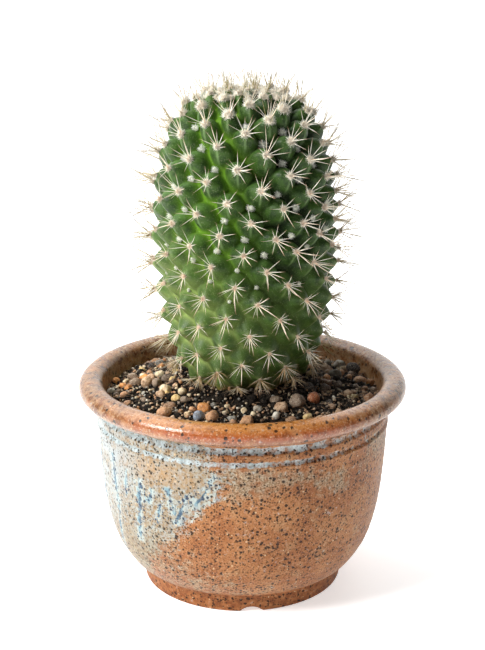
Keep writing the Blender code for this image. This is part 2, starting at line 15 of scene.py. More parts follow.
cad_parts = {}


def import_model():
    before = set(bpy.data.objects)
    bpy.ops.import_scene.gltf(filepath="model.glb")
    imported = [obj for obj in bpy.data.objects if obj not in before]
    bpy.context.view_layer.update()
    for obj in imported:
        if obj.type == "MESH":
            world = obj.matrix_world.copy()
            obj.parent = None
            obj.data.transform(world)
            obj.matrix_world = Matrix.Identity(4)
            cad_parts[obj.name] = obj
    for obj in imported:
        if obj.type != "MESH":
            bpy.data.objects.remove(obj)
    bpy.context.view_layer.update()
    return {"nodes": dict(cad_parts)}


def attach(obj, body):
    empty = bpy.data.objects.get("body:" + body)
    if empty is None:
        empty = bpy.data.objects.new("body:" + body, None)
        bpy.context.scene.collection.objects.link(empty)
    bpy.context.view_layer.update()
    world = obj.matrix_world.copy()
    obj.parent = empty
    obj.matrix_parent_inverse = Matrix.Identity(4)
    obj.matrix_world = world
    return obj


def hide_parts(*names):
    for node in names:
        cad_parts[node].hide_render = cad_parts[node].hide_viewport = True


MM = 0.001
BODY = "root"

# Camera, for a picture of 485 x 650
SENSOR_WIDTH = 36.0
PICTURE = (485, 650)
FOCAL_PIXELS = 1416.2
CAMERA_PLACE = (0.0, -0.4945, 0.2442)
CAMERA_DOWN = math.radians(16.64)

# Pot: a turned profile, as (radius, height) in mm where it is a list of points
POT_AROUND = 300
RIM_RADIUS = 60.0 * MM
RIM_CENTRE_HEIGHT = 74.9 * MM
RIM_HALF_WIDTH = 4.45 * MM
RIM_HALF_HEIGHT = 3.7 * MM
RIM_DROOP = 0.15
RIM_SWEEP = (math.radians(-100.0), math.radians(185.0))
RIM_STEPS = 40
RIM_INNER_STEP = 30
FOOT_POINTS = ((36.3, 0.0), (36.6, 0.12), (36.85, 0.5), (37.0, 1.2), (37.4, 3.2), (37.85, 5.4), (38.05, 6.3))
BODY_POINTS = ((38.6, 7.0), (42.4, 10.2), (47.4, 18.0), (50.9, 30.5), (52.7, 45.5), (53.7, 61.4))
GROOVES = ((61.9 * MM, 64.7 * MM), (66.4 * MM, 69.9 * MM))
GROOVE_DEPTH = 0.75 * MM
GROOVE_EDGE = 1.3 * MM
GROOVE_WALL_RADIUS = 53.8 * MM
INNER_WALL_POINTS = ((34.0, 9.0), (39.2, 11.6), (43.9, 19.0), (47.2, 31.0), (49.2, 47.0), (50.6, 70.8))
UNDERSIDE_POINTS = ((6.0, 9.0), (6.0, 3.5), (30.6, 3.5), (31.2, 0.0))
FOOT_HEIGHT = 6.0 * MM
NOTCH_ANGLES = (5.0, 125.0, 245.0)
NOTCH_WIDTH = 8.0 * MM
NOTCH_HEIGHT = 1.7 * MM
SPECK_EDGE = 0.08
MM_PER_DEGREE = 0.92

# Potting mix
SOIL_AROUND = 230
SOIL_EDGE = (50.25 * MM, 70.8 * MM)
SOIL_MOUND_EDGE = 49.9 * MM
SOIL_AT_STEM = 75.4 * MM
SOIL_MOUND_POWER = 1.6
SOIL_HEAP = 3.2 * MM
SOIL_HEAP_REACH = 7.0 * MM
SOIL_BOTTOM_POINTS = ((13.7, 13.6), (13.7, 9.5), (34.0, 9.5))
SOIL_HOLE_RADIUS = 19.15 * MM
SOIL_HOLE_POINTS = ((19.2, 73.0), (18.0, 65.5), (12.4, 58.3), (7.4, 56.5))
NECK_RADIUS = 18.8 * MM
STONE_SEED = 5
STONE_GROWTH = 1.22
STONES_INNER = 21.5 * MM
STONES_OUTER = 49.7 * MM
CLUMP_SEED = 14
CLUMPS_AT_STEM = 30
CLUMPS_ELSEWHERE = 56
CRUMB_SEED = 8
PEAT_CRUMBS = 3400
GRIT_GRAINS = 2400
DRY_FIBRES = 330

# Stem: the surface that the tubercles' tips lie on, as (radius, height) in mm
STEM_AXIS_X = 0.9 * MM
STEM_POINTS = (
    (21.3, 77.2), (26.0, 84.9), (31.2, 101.7), (33.4, 120.6), (33.2, 139.7),
    (30.7, 157.9), (24.0, 173.6), (12.0, 181.6), (0.0, 182.2),
)
ROOT_POINTS = ((7.0, 57.0), (12.0, 59.0), (17.6, 66.0), (18.8, 72.6), (19.3, 74.6), (21.3, 77.2))
SKIN_AROUND = 384
SKIN_UP = 212

# Spiral of the areoles: each is one turn step round and one rise further up the stem
TURN_STEP = math.radians(137.381)
FIRST_ANGLE = math.radians(-24.07)
FIRST_DISTANCE = 79.6 * MM
COLUMN_RISE = 0.525 * MM
DOME_RISE = 0.57 * MM
LOWEST_AREOLE = -148
CROWN_START = 55
CROWN_AREOLES = 20
JITTER = 0.3 * MM
STEM_SEED = 11
DRIFT_UP = 6.0 * MM
DRIFT_LEFT = 1.7 * MM
DRIFT_ANGLE = math.radians(59.0)
DRIFT_HEIGHT = 121.0 * MM
DRIFT_ANGLE_REACH = math.radians(42.0)
DRIFT_HEIGHT_REACH = 20.0 * MM
BELOW_GROUND_AREOLES = 22
BATCH = 8192

# Tubercles, by height on the stem
HEIGHTS = np.array((78.0, 100.0, 122.0, 165.0, 182.0)) * MM
TUBERCLE_DEPTHS = np.array((2.6, 4.8, 6.4, 6.2, 4.2)) * MM
TUBERCLE_LEANS = (0.0, 0.15, 0.25, 0.25, 0.0)
TUBERCLE_ROUNDNESS = (0.12, 0.18, 0.48, 0.95, 1.0)
CREASE_SOFTNESS = (0.26, 0.2, 0.12, 0.05, 0.05)
BULGE_REACHES = (1.0, 1.0, 0.97, 0.9, 0.9)
BULGE_POWER = 0.7
CREST_NEIGHBOUR = 13
CREST_PULL = 0.79
KEEL_RISE = 0.055
KEEL_HALF_WIDTH = 0.75 * MM
TALLEST = 190.1 * MM

# Wool: the areoles' tufts by height on the stem, the felt at the crown and the axils' tufts
WOOL_SEED = 21
WOOL_HEIGHTS = np.array((78.0, 100.0, 122.0, 165.0, 172.0, 177.0, 180.5, 182.5)) * MM
AREOLE_RADII = np.array((0.7, 0.85, 1.2, 1.8, 2.0, 2.4, 2.0, 1.2)) * MM
AREOLE_FIBRES = (34, 50, 96, 210, 260, 360, 340, 150)
AREOLE_TILT = 0.2
FIBRE_SHARE = 0.84
CORE_SHARE = 0.64
CROWN_TUFTS = 64
CROWN_FIBRES = 110
CROWN_FELT_RADIUS = 15.0 * MM
CROWN_FELT_DEPTH = 1.3 * MM
AXIL_STEP = 4.6 * MM
AXIL_TURN = math.radians(0.6)
AXIL_LOWEST = 108.0 * MM
AXIL_HIGHEST = 172.0 * MM
AXIL_HEIGHTS = np.array((108.0, 130.0, 172.0)) * MM
AXIL_RADII = np.array((0.8, 1.6, 2.0)) * MM
AXIL_FIBRES = 130

# Light and floor, with lights as name, place, the point they face, size and power
WORLD_STRENGTH = 0.12
LIGHTS = (
    ("rear_softbox", (-0.62, 0.3, 1.0), (0.0, 0.0, 0.1), 1.0, 10.0),
    ("key_softbox", (-1.0, -0.58, 0.9), (0.0, 0.0, 0.1), 0.45, 24.0),
    ("backdrop_light", (0.0, 2.2, 2.0), (0.0, 2.6, 0.0), 3.0, 36.0),
)
FLOOR_GLOW = 0.58
FLOOR_HALF_WIDTH = 4.0
FLOOR_FRONT = -3.0
FLOOR_BACK = 2.4
FLOOR_BEND = 0.8
FLOOR_TOP = 4.0
FLOOR_GAP = 0.02 * MM
FAR_FLOOR = 30.0


def tone(red, green, blue):
    """Linear colour from the usual 0 to 255 values."""
    shares = [value / 255.0 for value in (red, green, blue)]
    linear = [s / 12.92 if s <= 0.04045 else ((s + 0.055) / 1.055) ** 2.4 for s in shares]
    return (*linear, 1.0)


def unit(vectors):
    """Vectors scaled to length 1."""
    return vectors / np.maximum(np.linalg.norm(vectors, axis=-1, keepdims=True), 1e-12)


def smoothstep(low, high, values):
    """0 below low, 1 above high, and a smooth rise between."""
    share = np.clip((values - low) / (high - low), 0.0, 1.0)
    return share * share * (3.0 - 2.0 * share)


def band(values, low, full, end, high):
    """1 from full to end, and a smooth fall to 0 at low and at high."""
    return smoothstep(low, full, values) * smoothstep(high, end, values)


def around_axis(radii, angles, heights):
    """Points at radii and angles round the pot's axis, and at heights."""
    radii, angles, heights = np.broadcast_arrays(radii, angles, heights)
    return np.stack((radii * np.sin(angles), -radii * np.cos(angles), heights), axis=-1)


def even_angles(count):
    return np.arange(count) * math.tau / count


def smooth_curve(points_mm, steps):
    """Points along a Catmull-Rom curve through a few (radius, height) points given in mm."""
    points = [np.array(point) * MM for point in points_mm]
    ends = [2 * points[0] - points[1]] + points + [2 * points[-1] - points[-2]]
    chords = [np.linalg.norm(b - a) for a, b in zip(points, points[1:])]
    knots = np.concatenate(([0.0], np.cumsum(chords)))
    curve = []
    for distance in np.linspace(0.0, knots[-1], steps + 1):
        span = min(int(np.searchsorted(knots, distance, side="right")) - 1, len(chords) - 1)
        t = (distance - knots[span]) / chords[span]
        before, start, end, after = ends[span:span + 4]
        # Tangents scaled to uneven chords, so that a long span doesn't bend a short one
        previous = np.linalg.norm(start - before)
        following = np.linalg.norm(after - end)
        slope_in = (end - before) * chords[span] / (chords[span] + previous)
        slope_out = (after - start) * chords[span] / (chords[span] + following)
        curve.append(
            (2 * t ** 3 - 3 * t ** 2 + 1) * start
            + (t ** 3 - 2 * t ** 2 + t) * slope_in
            + (3 * t ** 2 - 2 * t ** 3) * end
            + (t ** 3 - t ** 2) * slope_out
        )
    return np.array(curve)


def straight_steps(points_mm, step):
    """Points along straight runs between a few (radius, height) points given in mm."""
    points = [np.array(point) * MM for point in points_mm]
    path = [points[0]]
    for start, end in zip(points, points[1:]):
        count = max(int(np.linalg.norm(end - start) / step), 1)
        path += [start + (end - start) * (index + 1) / count for index in range(count)]
    return np.array(path)


# Mesh helpers

def mesh_item(name, points, faces, material):
    """A smooth mesh, put into the scene."""
    mesh = bpy.data.meshes.new(name)
    mesh.from_pydata(np.asarray(points).tolist(), [], faces)
    mesh.materials.append(material)
    mesh.shade_smooth()
    item = bpy.data.objects.new(name, mesh)
    bpy.context.scene.collection.objects.link(item)
    return item


def add_piece(name, points, faces, material, fields=None, replaces=()):
    """Make one mesh piece that rides on the part's body, with its values on the points."""
    item = mesh_item(name, points, faces, material)
    for field, values in (fields or {}).items():
        coloured = np.ndim(values) == 2
        layer = item.data.attributes.new(field, "FLOAT_COLOR" if coloured else "FLOAT", "POINT")
        key = "color" if coloured else "value"
        layer.data.foreach_set(key, np.ravel(values).astype(np.float32))
    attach(item, BODY)
    if replaces:
        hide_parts(*replaces)


def ring_quads(rings, around, closed=False):
    """Quads between rings of points that run round an axis."""
    index = np.arange(rings * around).reshape(rings, around)
    following = np.roll(index, -1, axis=1)
    low, high = index[:-1], index[1:]
    low_next, high_next = following[:-1], following[1:]
    if closed:
        low, high = index, np.roll(index, -1, axis=0)
        low_next, high_next = following, np.roll(following, -1, axis=0)
    return np.stack((low, low_next, high_next, high), axis=-1).reshape(-1, 4).tolist()


def loft(rings):
    """Points and faces of a tube through rings of points, closed by a fan at each end."""
    count, around, _ = rings.shape
    points = np.vstack((rings.reshape(-1, 3), rings[0].mean(axis=0), rings[-1].mean(axis=0)))
    faces = ring_quads(count, around)
    low, high = count * around, count * around + 1
    last = (count - 1) * around
    for index in range(around):
        following = (index + 1) % around
        faces.append((following, index, low))
        faces.append((last + index, last + following, high))
    return points, faces


def tapers(starts, reaches, widths, bows, sides, steps):
    """Many tapering spines, each bowed a little: points, faces and share of the length."""
    count = len(starts)
    shares = np.arange(steps) / steps
    directions = unit(reaches)
    helper = np.where(np.abs(directions[:, 2:3]) < 0.8, (0.0, 0.0, 1.0), (1.0, 0.0, 0.0))
    across = unit(np.cross(directions, helper))
    other = np.cross(directions, across)
    turns = np.arange(sides) * math.tau / sides
    spokes = across[:, None] * np.cos(turns)[:, None] + other[:, None] * np.sin(turns)[:, None]
    along = shares[None, :, None]
    middles = starts[:, None] + reaches[:, None] * along + bows[:, None] * (along - along ** 2) * 4.0
    radii = np.asarray(widths)[:, None] / 2.0 * (1.0 - shares ** 2.6)
    rings = middles[:, :, None] + radii[:, :, None, None] * spokes[:, None]
    points = np.concatenate((rings.reshape(count, -1, 3), (starts + reaches)[:, None]), axis=1)
    each = steps * sides + 1
    quads = np.array(ring_quads(steps, sides)).reshape(-1, 4)
    last = (steps - 1) * sides
    tips = np.array([(last + i, last + (i + 1) % sides, each - 1) for i in range(sides)])
    base = np.arange(sides)[::-1]
    offsets = (np.arange(count) * each)[:, None, None]
    faces = (quads + offsets).reshape(-1, 4).tolist()
    faces += (tips + offsets).reshape(-1, 3).tolist()
    faces += (base + offsets[:, :, 0]).tolist()
    share_field = np.tile(np.append(np.repeat(shares, sides), 1.0), count)
    return points.reshape(-1, 3), faces, share_field


def ball(subdivisions):
    """Directions and faces of an even ball."""
    bm = bmesh.new()
    bmesh.ops.create_icosphere(bm, subdivisions=subdivisions, radius=1.0)
    directions = unit(np.array([tuple(vert.co) for vert in bm.verts]))
    faces = np.array([[vert.index for vert in face.verts] for face in bm.faces])
    bm.free()
    return directions, faces


def lumps(centres, sizes, flatness, subdivisions, rng, chips=8, sharpness=9.0, rough=0.0):
    """Many worn stones or crumbs, each a ball cut back by a few planes: points, faces, number."""
    directions, faces = ball(subdivisions)
    count = len(centres)
    planes = unit(rng.normal(size=(count, chips, 3)))
    depths = rng.uniform(0.66, 1.0, size=(count, chips, 1))
    facing = np.maximum(np.einsum("vk,nck->ncv", directions, planes), 0.0) / depths
    reach = (1.0 + (facing ** sharpness).sum(axis=1)) ** (-1.0 / sharpness)
    shape = directions[None] * reach[:, :, None]
    if rough > 0.0:
        shift = rng.uniform(-50.0, 50.0, size=(count, 1, 3))
        shape = shape * (1.0 + rough * crumbly(shape + shift, 0.55, 3))[:, :, None]
    widths = rng.uniform(0.72, 1.0, size=count)
    shape = shape * np.stack((np.ones(count), widths, np.asarray(flatness)), axis=-1)[:, None]
    tilt = rng.normal(scale=0.22, size=(count, 2))
    yaw = rng.uniform(0.0, math.tau, size=count)
    up = unit(np.stack((tilt[:, 0], tilt[:, 1], np.ones(count)), axis=-1))
    ahead = np.stack((np.cos(yaw), np.sin(yaw), np.zeros(count)), axis=-1)
    ahead = unit(ahead - up * (ahead * up).sum(axis=1, keepdims=True))
    side = np.cross(up, ahead)
    turn = np.stack((ahead, side, up), axis=1)
    points = np.einsum("nvk,nkm->nvm", shape, turn) * np.asarray(sizes)[:, None, None] + centres[:, None]
    offsets = (np.arange(count) * len(directions))[:, None, None]
    number = np.repeat(np.arange(count), len(directions))
    return points.reshape(-1, 3), (faces + offsets).reshape(-1, 3).tolist(), number


def joined(*parts):
    """Several (points, faces) as one."""
    points = []
    faces = []
    start = 0
    for part_points, part_faces in parts:
        points.append(part_points)
        faces += [[corner + start for corner in face] for face in part_faces]
        start += len(part_points)
    return np.vstack(points), faces


# Material helpers

class Graph:
    """Short calls that build one material's nodes. Sizes are in mm, and a colour given in three
    numbers runs from 0 to 255.
    """

    def __init__(self, name):
        self.material = bpy.data.materials.new(name)
        self.material.use_nodes = True
        self.tree = self.material.node_tree
        self.shader = self.tree.nodes["Principled BSDF"]
        self.place = self.node("TexCoord").outputs["Object"]

    def node(self, kind, values=(), **settings):
        """A new node, with its settings and the values or links of its inputs."""
        node = self.tree.nodes.new("ShaderNode" + kind)
        for name, setting in settings.items():
            setattr(node, name, setting)
        for key, value in dict(values).items():
            self.feed(node.inputs[key], value)
        return node

    def feed(self, socket, value):
        """Link a socket to another, or set its value."""
        if isinstance(value, bpy.types.NodeSocket):
            self.tree.links.new(value, socket)
        else:
            socket.default_value = value

    def math(self, operation, *values):
        return self.node("Math", enumerate(values), operation=operation).outputs[0]

    def plus(self, first, second):
        return self.math("ADD", first, second)

    def times(self, product, *factors):
        for factor in factors:
            product = self.math("MULTIPLY", product, factor)
        return product

    def scaled(self, value, factor, offset):
        """The value times the factor, plus the offset."""
        return self.math("MULTIPLY_ADD", value, factor, offset)

    def larger(self, first, second):
        return self.math("MAXIMUM", first, second)

    def ramp(self, value, low, high, start=0.0, end=1.0):
        """A smooth step from start at low to end at high."""
        values = enumerate((value, low, high, start, end))
        return self.node("MapRange", values, interpolation_type="SMOOTHSTEP").outputs[0]

    def mix(self, share, first, second, blend="MIX"):
        values = {0: share, 6: first, 7: second}
        return self.node("Mix", values, data_type="RGBA", blend_type=blend).outputs[2]

    def blend(self, value, low, high, first, second):
        """The first colour where the value is at low, and the second where it is at high."""
        return self.mix(self.ramp(value, low, high), tone(*first), tone(*second))

    def tint(self, colour, value, low, high, share, second):
        """A colour with a share of a second one in it, where the value is at high."""
        return self.mix(self.ramp(value, low, high, 0.0, share), colour, tone(*second))

    def field(self, name, coloured=False):
        """A value stored on the mesh's points."""
        return self.node("Attribute", attribute_name=name).outputs["Color" if coloured else "Fac"]

    def stretched(self, x, y, z):
        """Object coordinates scaled on each axis."""
        return self.node("Mapping", {"Vector": self.place, "Scale": (x, y, z)}).outputs[0]

    def noise(self, size, detail=3.0, place=None):
        """Noise whose features are about the given size."""
        values = {"Vector": place or self.place, "Scale": 1.0 / (size * MM), "Detail": detail}
        return self.node("TexNoise", {**values, "Roughness": 0.55}).outputs[0]

    def distorted(self, size, amount, scale=1.0):
        """Object coordinates pushed about by noise of the given size."""
        values = {"Vector": self.place, "Scale": 1.0 / (size * MM), "Detail": 2.0}
        push = self.node("TexNoise", values).outputs["Color"]
        steps = {0: push, 1: (amount * MM, amount * MM, amount * MM), 2: self.stretched(scale, scale, scale)}
        return self.node("VectorMath", steps, operation="MULTIPLY_ADD").outputs[0]

    def specks(self, size, smallest, largest, place, grow=0.0):
        """Specks of uneven size, one to each cell of the given size."""
        cells = self.node("TexVoronoi", {"Vector": place, "Scale": 1.0 / (size * MM)})
        chance = self.node("SeparateColor", {0: cells.outputs["Color"]}).outputs[0]
        radius = self.plus(self.scaled(chance, largest - smallest, smallest), grow)
        return self.ramp(self.math("SUBTRACT", radius, cells.outputs["Distance"]), 0.0, SPECK_EDGE)

    def bump(self, height, distance, strength=1.0):
        values = {"Height": height, "Distance": distance * MM, "Strength": strength}
        return self.node("Bump", values).outputs[0]

    def finish(self, colour, roughness, normal=None):
        self.feed(self.shader.inputs["Base Color"], colour)
        self.feed(self.shader.inputs["Roughness"], roughness)
        if normal is not None:
            self.feed(self.shader.inputs["Normal"], normal)
        return self.material


def stoneware_material():
    """Speckled orange-brown stoneware with a pale wash that ran down the left side."""
    graph = Graph("speckled_stoneware")
    broad = graph.noise(14.0, 2.0)
    patchy = graph.noise(5.5)
    middle = graph.noise(2.2, 4.0)
    fine = graph.noise(0.6, 2.0)
    streaks = graph.noise(2.6, 3.0, graph.stretched(1.0, 1.0, 0.22))
    rim = graph.field("rim")
    foot = graph.field("foot")

    # Clay body: warm orange, with redder and paler clouds and fine grains
    colour = graph.blend(broad, 0.36, 0.64, (172, 106, 60), (194, 130, 82))
    colour = graph.tint(colour, middle, 0.52, 0.3, 0.5, (154, 90, 56))
    colour = graph.tint(colour, patchy, 0.5, 0.72, 0.5, (196, 148, 106))
    colour = graph.tint(colour, fine, 0.54, 0.7, 0.55, (214, 168, 130))
    colour = graph.tint(colour, fine, 0.46, 0.32, 0.85, (104, 62, 34))

    # Grey-green haze in patches
    broken = graph.scaled(middle, 2.2, graph.scaled(patchy, 1.6, -2.0))
    haze = graph.ramp(graph.plus(graph.field("haze"), broken), 0.1, 1.1, 0.0, 0.75)
    colour = graph.mix(haze, colour, graph.blend(fine, 0.4, 0.62, (146, 122, 96), (196, 184, 164)))

    colour = graph.mix(rim, colour, rim_colour(graph, middle, fine, patchy))
    inner_colour = graph.blend(middle, 0.36, 0.62, (198, 132, 82), (250, 206, 166))
    colour = graph.mix(graph.field("inside"), colour, inner_colour)
    colour = graph.mix(foot, colour, graph.blend(middle, 0.36, 0.66, (146, 82, 42), (186, 120, 74)))

    wash, wash_colour = wash_layer(graph, patchy, middle, fine, streaks)
    colour = graph.mix(wash, colour, wash_colour)
    colour = drip_layer(graph, colour, patchy, middle, streaks)
    colour = groove_layer(graph, colour, middle, fine, streaks)
    colour, iron = speck_layer(graph, colour, wash)
    colour = graph.mix(1.0, colour, tone(224, 226, 218), "MULTIPLY")

    gloss = graph.scaled(rim, -0.14, 0.36)
    roughness = graph.scaled(foot, 0.25, graph.scaled(graph.ramp(middle, 0.3, 0.7), 0.16, gloss))
    pitted = graph.scaled(middle, 1.6, graph.scaled(iron, -0.7, fine))
    shine = graph.scaled(graph.field("rim_end"), -0.5, 0.85)
    graph.feed(graph.shader.inputs["Coat Weight"], graph.scaled(rim, shine, 0.03))
    graph.shader.inputs["Coat Roughness"].default_value = 0.22
    graph.shader.inputs["Specular IOR Level"].default_value = 0.22
    graph.feed(graph.shader.inputs["Coat Normal"], graph.bump(pitted, 0.18, 0.35))
    return graph.finish(colour, roughness, graph.bump(pitted, 0.18, 0.9))


def rim_colour(graph, middle, fine, patchy):
    """Rim: golden along the top, red-orange outside, pinkish brown below and greyer at the sides."""
    turn = graph.field("rim_turn")
    colour = graph.blend(turn, 0.25, 1.15, (184, 92, 42), (212, 136, 66))
    colour = graph.tint(colour, turn, 0.2, -0.4, 1.0, (160, 104, 76))
    colour = graph.tint(colour, middle, 0.5, 0.3, 0.7, (128, 66, 34))
    colour = graph.tint(colour, patchy, 0.52, 0.7, 0.55, (216, 158, 112))
    end_share = graph.times(graph.field("rim_end"), graph.ramp(patchy, 0.3, 0.55, 0.55, 1.0))
    colour = graph.mix(end_share, colour, graph.blend(middle, 0.35, 0.62, (112, 70, 42), (172, 130, 94)))
    colour = graph.tint(colour, fine, 0.46, 0.32, 0.6, (136, 76, 42))
    return graph.tint(colour, fine, 0.55, 0.7, 0.5, (236, 202, 172))


def wash_layer(graph, patchy, middle, fine, streaks):
    """Pale wash: its share and colour. The field is a distance in mm inside its edge."""
    inside = graph.field("wash")
    lip = graph.field("lip")
    swing = graph.scaled(patchy, 15.0, graph.scaled(middle, 9.0, -12.0))
    edge = graph.plus(inside, swing)
    softness = graph.scaled(lip, -7.0, 11.0)
    cover = graph.ramp(edge, graph.times(softness, -1.0), softness)
    grains = graph.scaled(fine, 1.7, graph.math("SUBTRACT", cover, 1.1))
    share = graph.times(graph.ramp(grains, -0.25, 0.4), graph.ramp(cover, 0.0, 0.2, 0.0, 0.88))

    # Chalky grey, with grains and with clay that shows through
    grainy = graph.noise(1.1)
    colour = graph.blend(streaks, 0.4, 0.58, (170, 150, 122), (180, 180, 170))
    colour = graph.tint(colour, grainy, 0.48, 0.62, 0.8, (178, 190, 196))
    colour = graph.tint(colour, grainy, 0.47, 0.36, 0.7, (160, 132, 98))
    colour = graph.tint(colour, fine, 0.5, 0.36, 0.6, (150, 114, 80))

    # Tan in one place under the grooves, olive lower down, icy far left and blue-white at its lip
    tan = graph.times(graph.field("tan"), graph.ramp(middle, 0.3, 0.6, 0.9, 0.4))
    colour = graph.mix(tan, colour, tone(200, 160, 118))
    below = graph.ramp(graph.field("level"), 36.0, 22.0, 0.0, 0.65)
    colour = graph.mix(below, colour, graph.blend(middle, 0.38, 0.6, (132, 112, 86), (172, 158, 132)))
    icy = graph.times(graph.ramp(inside, 20.0, 50.0), graph.ramp(patchy, 0.36, 0.6, 0.3, 0.95))
    colour = graph.mix(icy, colour, tone(190, 202, 212))
    fringe = graph.times(graph.ramp(edge, 8.0, 1.5), graph.ramp(middle, 0.4, 0.6, 0.1, 0.9), lip)
    return share, graph.mix(fringe, colour, graph.blend(streaks, 0.4, 0.6, (140, 164, 184), (204, 216, 216)))


def drip_layer(graph, colour, patchy, middle, streaks):
    """Thin blue runs with a pale, mottled border."""
    run = graph.field("run")
    wobble = graph.scaled(middle, 5.0, -2.5)
    off = graph.math("ABSOLUTE", graph.plus(graph.field("run_side"), wobble))
    halo = graph.times(graph.ramp(off, 3.6, 0.7), graph.ramp(run, 0.15, 0.8))
    halo = graph.times(halo, graph.ramp(middle, 0.42, 0.58, 0.1, 0.8))
    colour = graph.mix(halo, colour, tone(202, 216, 220))
    width = graph.ramp(patchy, 0.38, 0.66, 0.3, 1.35)
    core = graph.ramp(graph.math("SUBTRACT", off, width), 0.3, -0.6)
    core = graph.times(core, graph.ramp(run, 0.3, 0.85), graph.ramp(streaks, 0.3, 0.5, 0.35, 0.95))
    return graph.mix(core, colour, graph.blend(middle, 0.42, 0.6, (62, 98, 130), (136, 168, 186)))


def groove_layer(graph, colour, middle, fine, streaks):
    """Blue-grey glaze that pooled in the grooves."""
    pooled = graph.plus(graph.field("groove"), graph.scaled(middle, 3.0, -1.6))
    share = graph.times(graph.ramp(pooled, 0.2, 0.95), graph.ramp(fine, 0.34, 0.6, 0.5, 0.95))
    return graph.mix(share, colour, graph.blend(streaks, 0.36, 0.6, (170, 186, 196), (216, 230, 242)))


def speck_layer(graph, colour, wash):
    """Ragged iron specks of three sizes, then small pale grains. Gives the iron's share too."""
    rim = graph.field("rim")
    ragged = graph.distorted(0.8, 0.9)
    fewer = graph.times(rim, -0.28)
    big = graph.specks(2.4, -0.22, 0.3, ragged, graph.times(rim, 0.09))
    medium = graph.specks(1.4, -0.06, 0.46, ragged, fewer)
    small = graph.specks(0.9, 0.0, 0.48, ragged, fewer)
    iron = graph.larger(graph.larger(big, medium), graph.times(small, 0.8))
    iron_colour = graph.mix(wash, tone(42, 24, 9), tone(48, 36, 20))
    iron_colour = graph.tint(iron_colour, graph.field("run"), 0.3, 0.8, 1.0, (44, 60, 92))
    colour = graph.mix(graph.times(iron, 0.93), colour, iron_colour)
    pale = graph.specks(1.5, -0.3, 0.28, graph.distorted(0.5, 0.5, 0.93))
    return graph.mix(graph.times(pale, 0.8), colour, tone(232, 198, 160)), iron


def potsherd_material():
    """Unglazed broken clay."""
    graph = Graph("broken_clay")
    fine = graph.noise(0.6)
    colour = graph.blend(graph.noise(2.5, 4.0), 0.35, 0.65, (150, 84, 56), (178, 108, 76))
    colour = graph.tint(colour, fine, 0.6, 0.75, 1.0, (200, 150, 120))
    return graph.finish(colour, graph.ramp(fine, 0.3, 0.7, 0.75, 0.95), graph.bump(fine, 0.2, 0.6))


def skin_material():
    """Waxy green skin, with painted light and shade: bloom and painted light above each areole, a pale keel
    under it that is partly a painted highlight, and creases with painted light on the left and painted shade
    elsewhere.
    """
    graph = Graph("cactus_skin")
    middle = graph.noise(3.0, 4.0)
    fine = graph.noise(0.45, 2.0)
    crease, low, above, painted_light_left = map(graph.field, ("crease", "low", "above", "painted_light_left"))
    fresh = graph.blend(middle, 0.35, 0.65, (31, 57, 20), (54, 86, 32))
    aged = graph.blend(middle, 0.35, 0.65, (38, 66, 26), (64, 98, 42))
    colour = graph.mix(low, fresh, aged)

    # Pale bloom on the upper faces, partly painted light from above, thinner on the old tubercles
    dust = graph.scaled(graph.plus(middle, fine), 2.2, -2.2)
    bloom_and_painted_light = graph.ramp(graph.plus(above, dust), -1.2, 2.6)
    bloom_and_painted_light = graph.times(bloom_and_painted_light, graph.ramp(crease, 1.1, 0.2, 0.2, 0.85), graph.scaled(low, -0.5, 1.0))
    colour = graph.mix(bloom_and_painted_light, colour, graph.mix(low, tone(80, 124, 58), tone(132, 152, 84)))

    # Pale keel under each areole and a pale patch round it, partly bloom and partly a painted highlight on
    # the ridges
    off = graph.math("ABSOLUTE", graph.field("across"))
    keel = graph.times(graph.ramp(off, 0.75, 0.1), graph.ramp(above, -0.6, -2.0))
    keel = graph.times(keel, graph.ramp(crease, 0.95, 0.6, 0.0, 0.4))
    pale_crest_and_highlight = graph.larger(keel, graph.ramp(crease, 0.4, 0.08, 0.0, 0.4))
    colour = graph.mix(pale_crest_and_highlight, colour, graph.mix(low, tone(116, 150, 100), tone(158, 176, 124)))

    # Painted shade in the creases between the young tubercles, and painted light in them on the left
    valley = graph.ramp(crease, 0.68, 1.0)
    painted_crease_light_shade = graph.mix(graph.field("side"), tone(14, 30, 7), tone(84, 130, 26))
    colour = graph.mix(graph.times(valley, graph.scaled(low, -0.9, 0.9)), colour, painted_crease_light_shade)

    # Old tubercles get painted shade above the areole, and painted light under it and in the broad creases,
    # strongest on the left
    under = graph.ramp(graph.scaled(middle, 1.6, above), 0.6, -3.0, 0.0, 0.7)
    broad = graph.larger(graph.ramp(crease, 0.4, 1.15), under)
    old_painted_light = graph.mix(painted_light_left, tone(72, 94, 38), tone(134, 158, 92))
    colour = graph.mix(graph.times(broad, low, 0.6), colour, old_painted_light)
    painted_cap_shade = graph.times(graph.ramp(above, -0.2, 1.4), graph.ramp(crease, 1.0, 0.65))
    colour = graph.mix(graph.times(painted_cap_shade, low, 0.6), colour, tone(40, 74, 32))

    # Corky base, pale specks, and painted light on the left with painted shade on the right
    base = graph.plus(graph.field("base"), graph.scaled(middle, 0.8, -0.4))
    colour = graph.tint(colour, base, 0.3, 0.9, 1.0, (104, 96, 48))
    colour = graph.mix(graph.times(graph.ramp(fine, 0.55, 0.72), 0.14), colour, tone(190, 208, 170))
    light = graph.mix(painted_light_left, (0.88, 0.8, 0.7, 1.0), (1.34, 1.17, 1.08, 1.0))
    colour = graph.mix(1.0, colour, light, "MULTIPLY")
    roughness = graph.scaled(valley, 0.4, graph.ramp(middle, 0.3, 0.7, 0.36, 0.5))
    graph.shader.inputs["Specular IOR Level"].default_value = 0.22
    return graph.finish(colour, roughness, graph.bump(graph.scaled(middle, 1.6, fine), 0.14, 0.7))


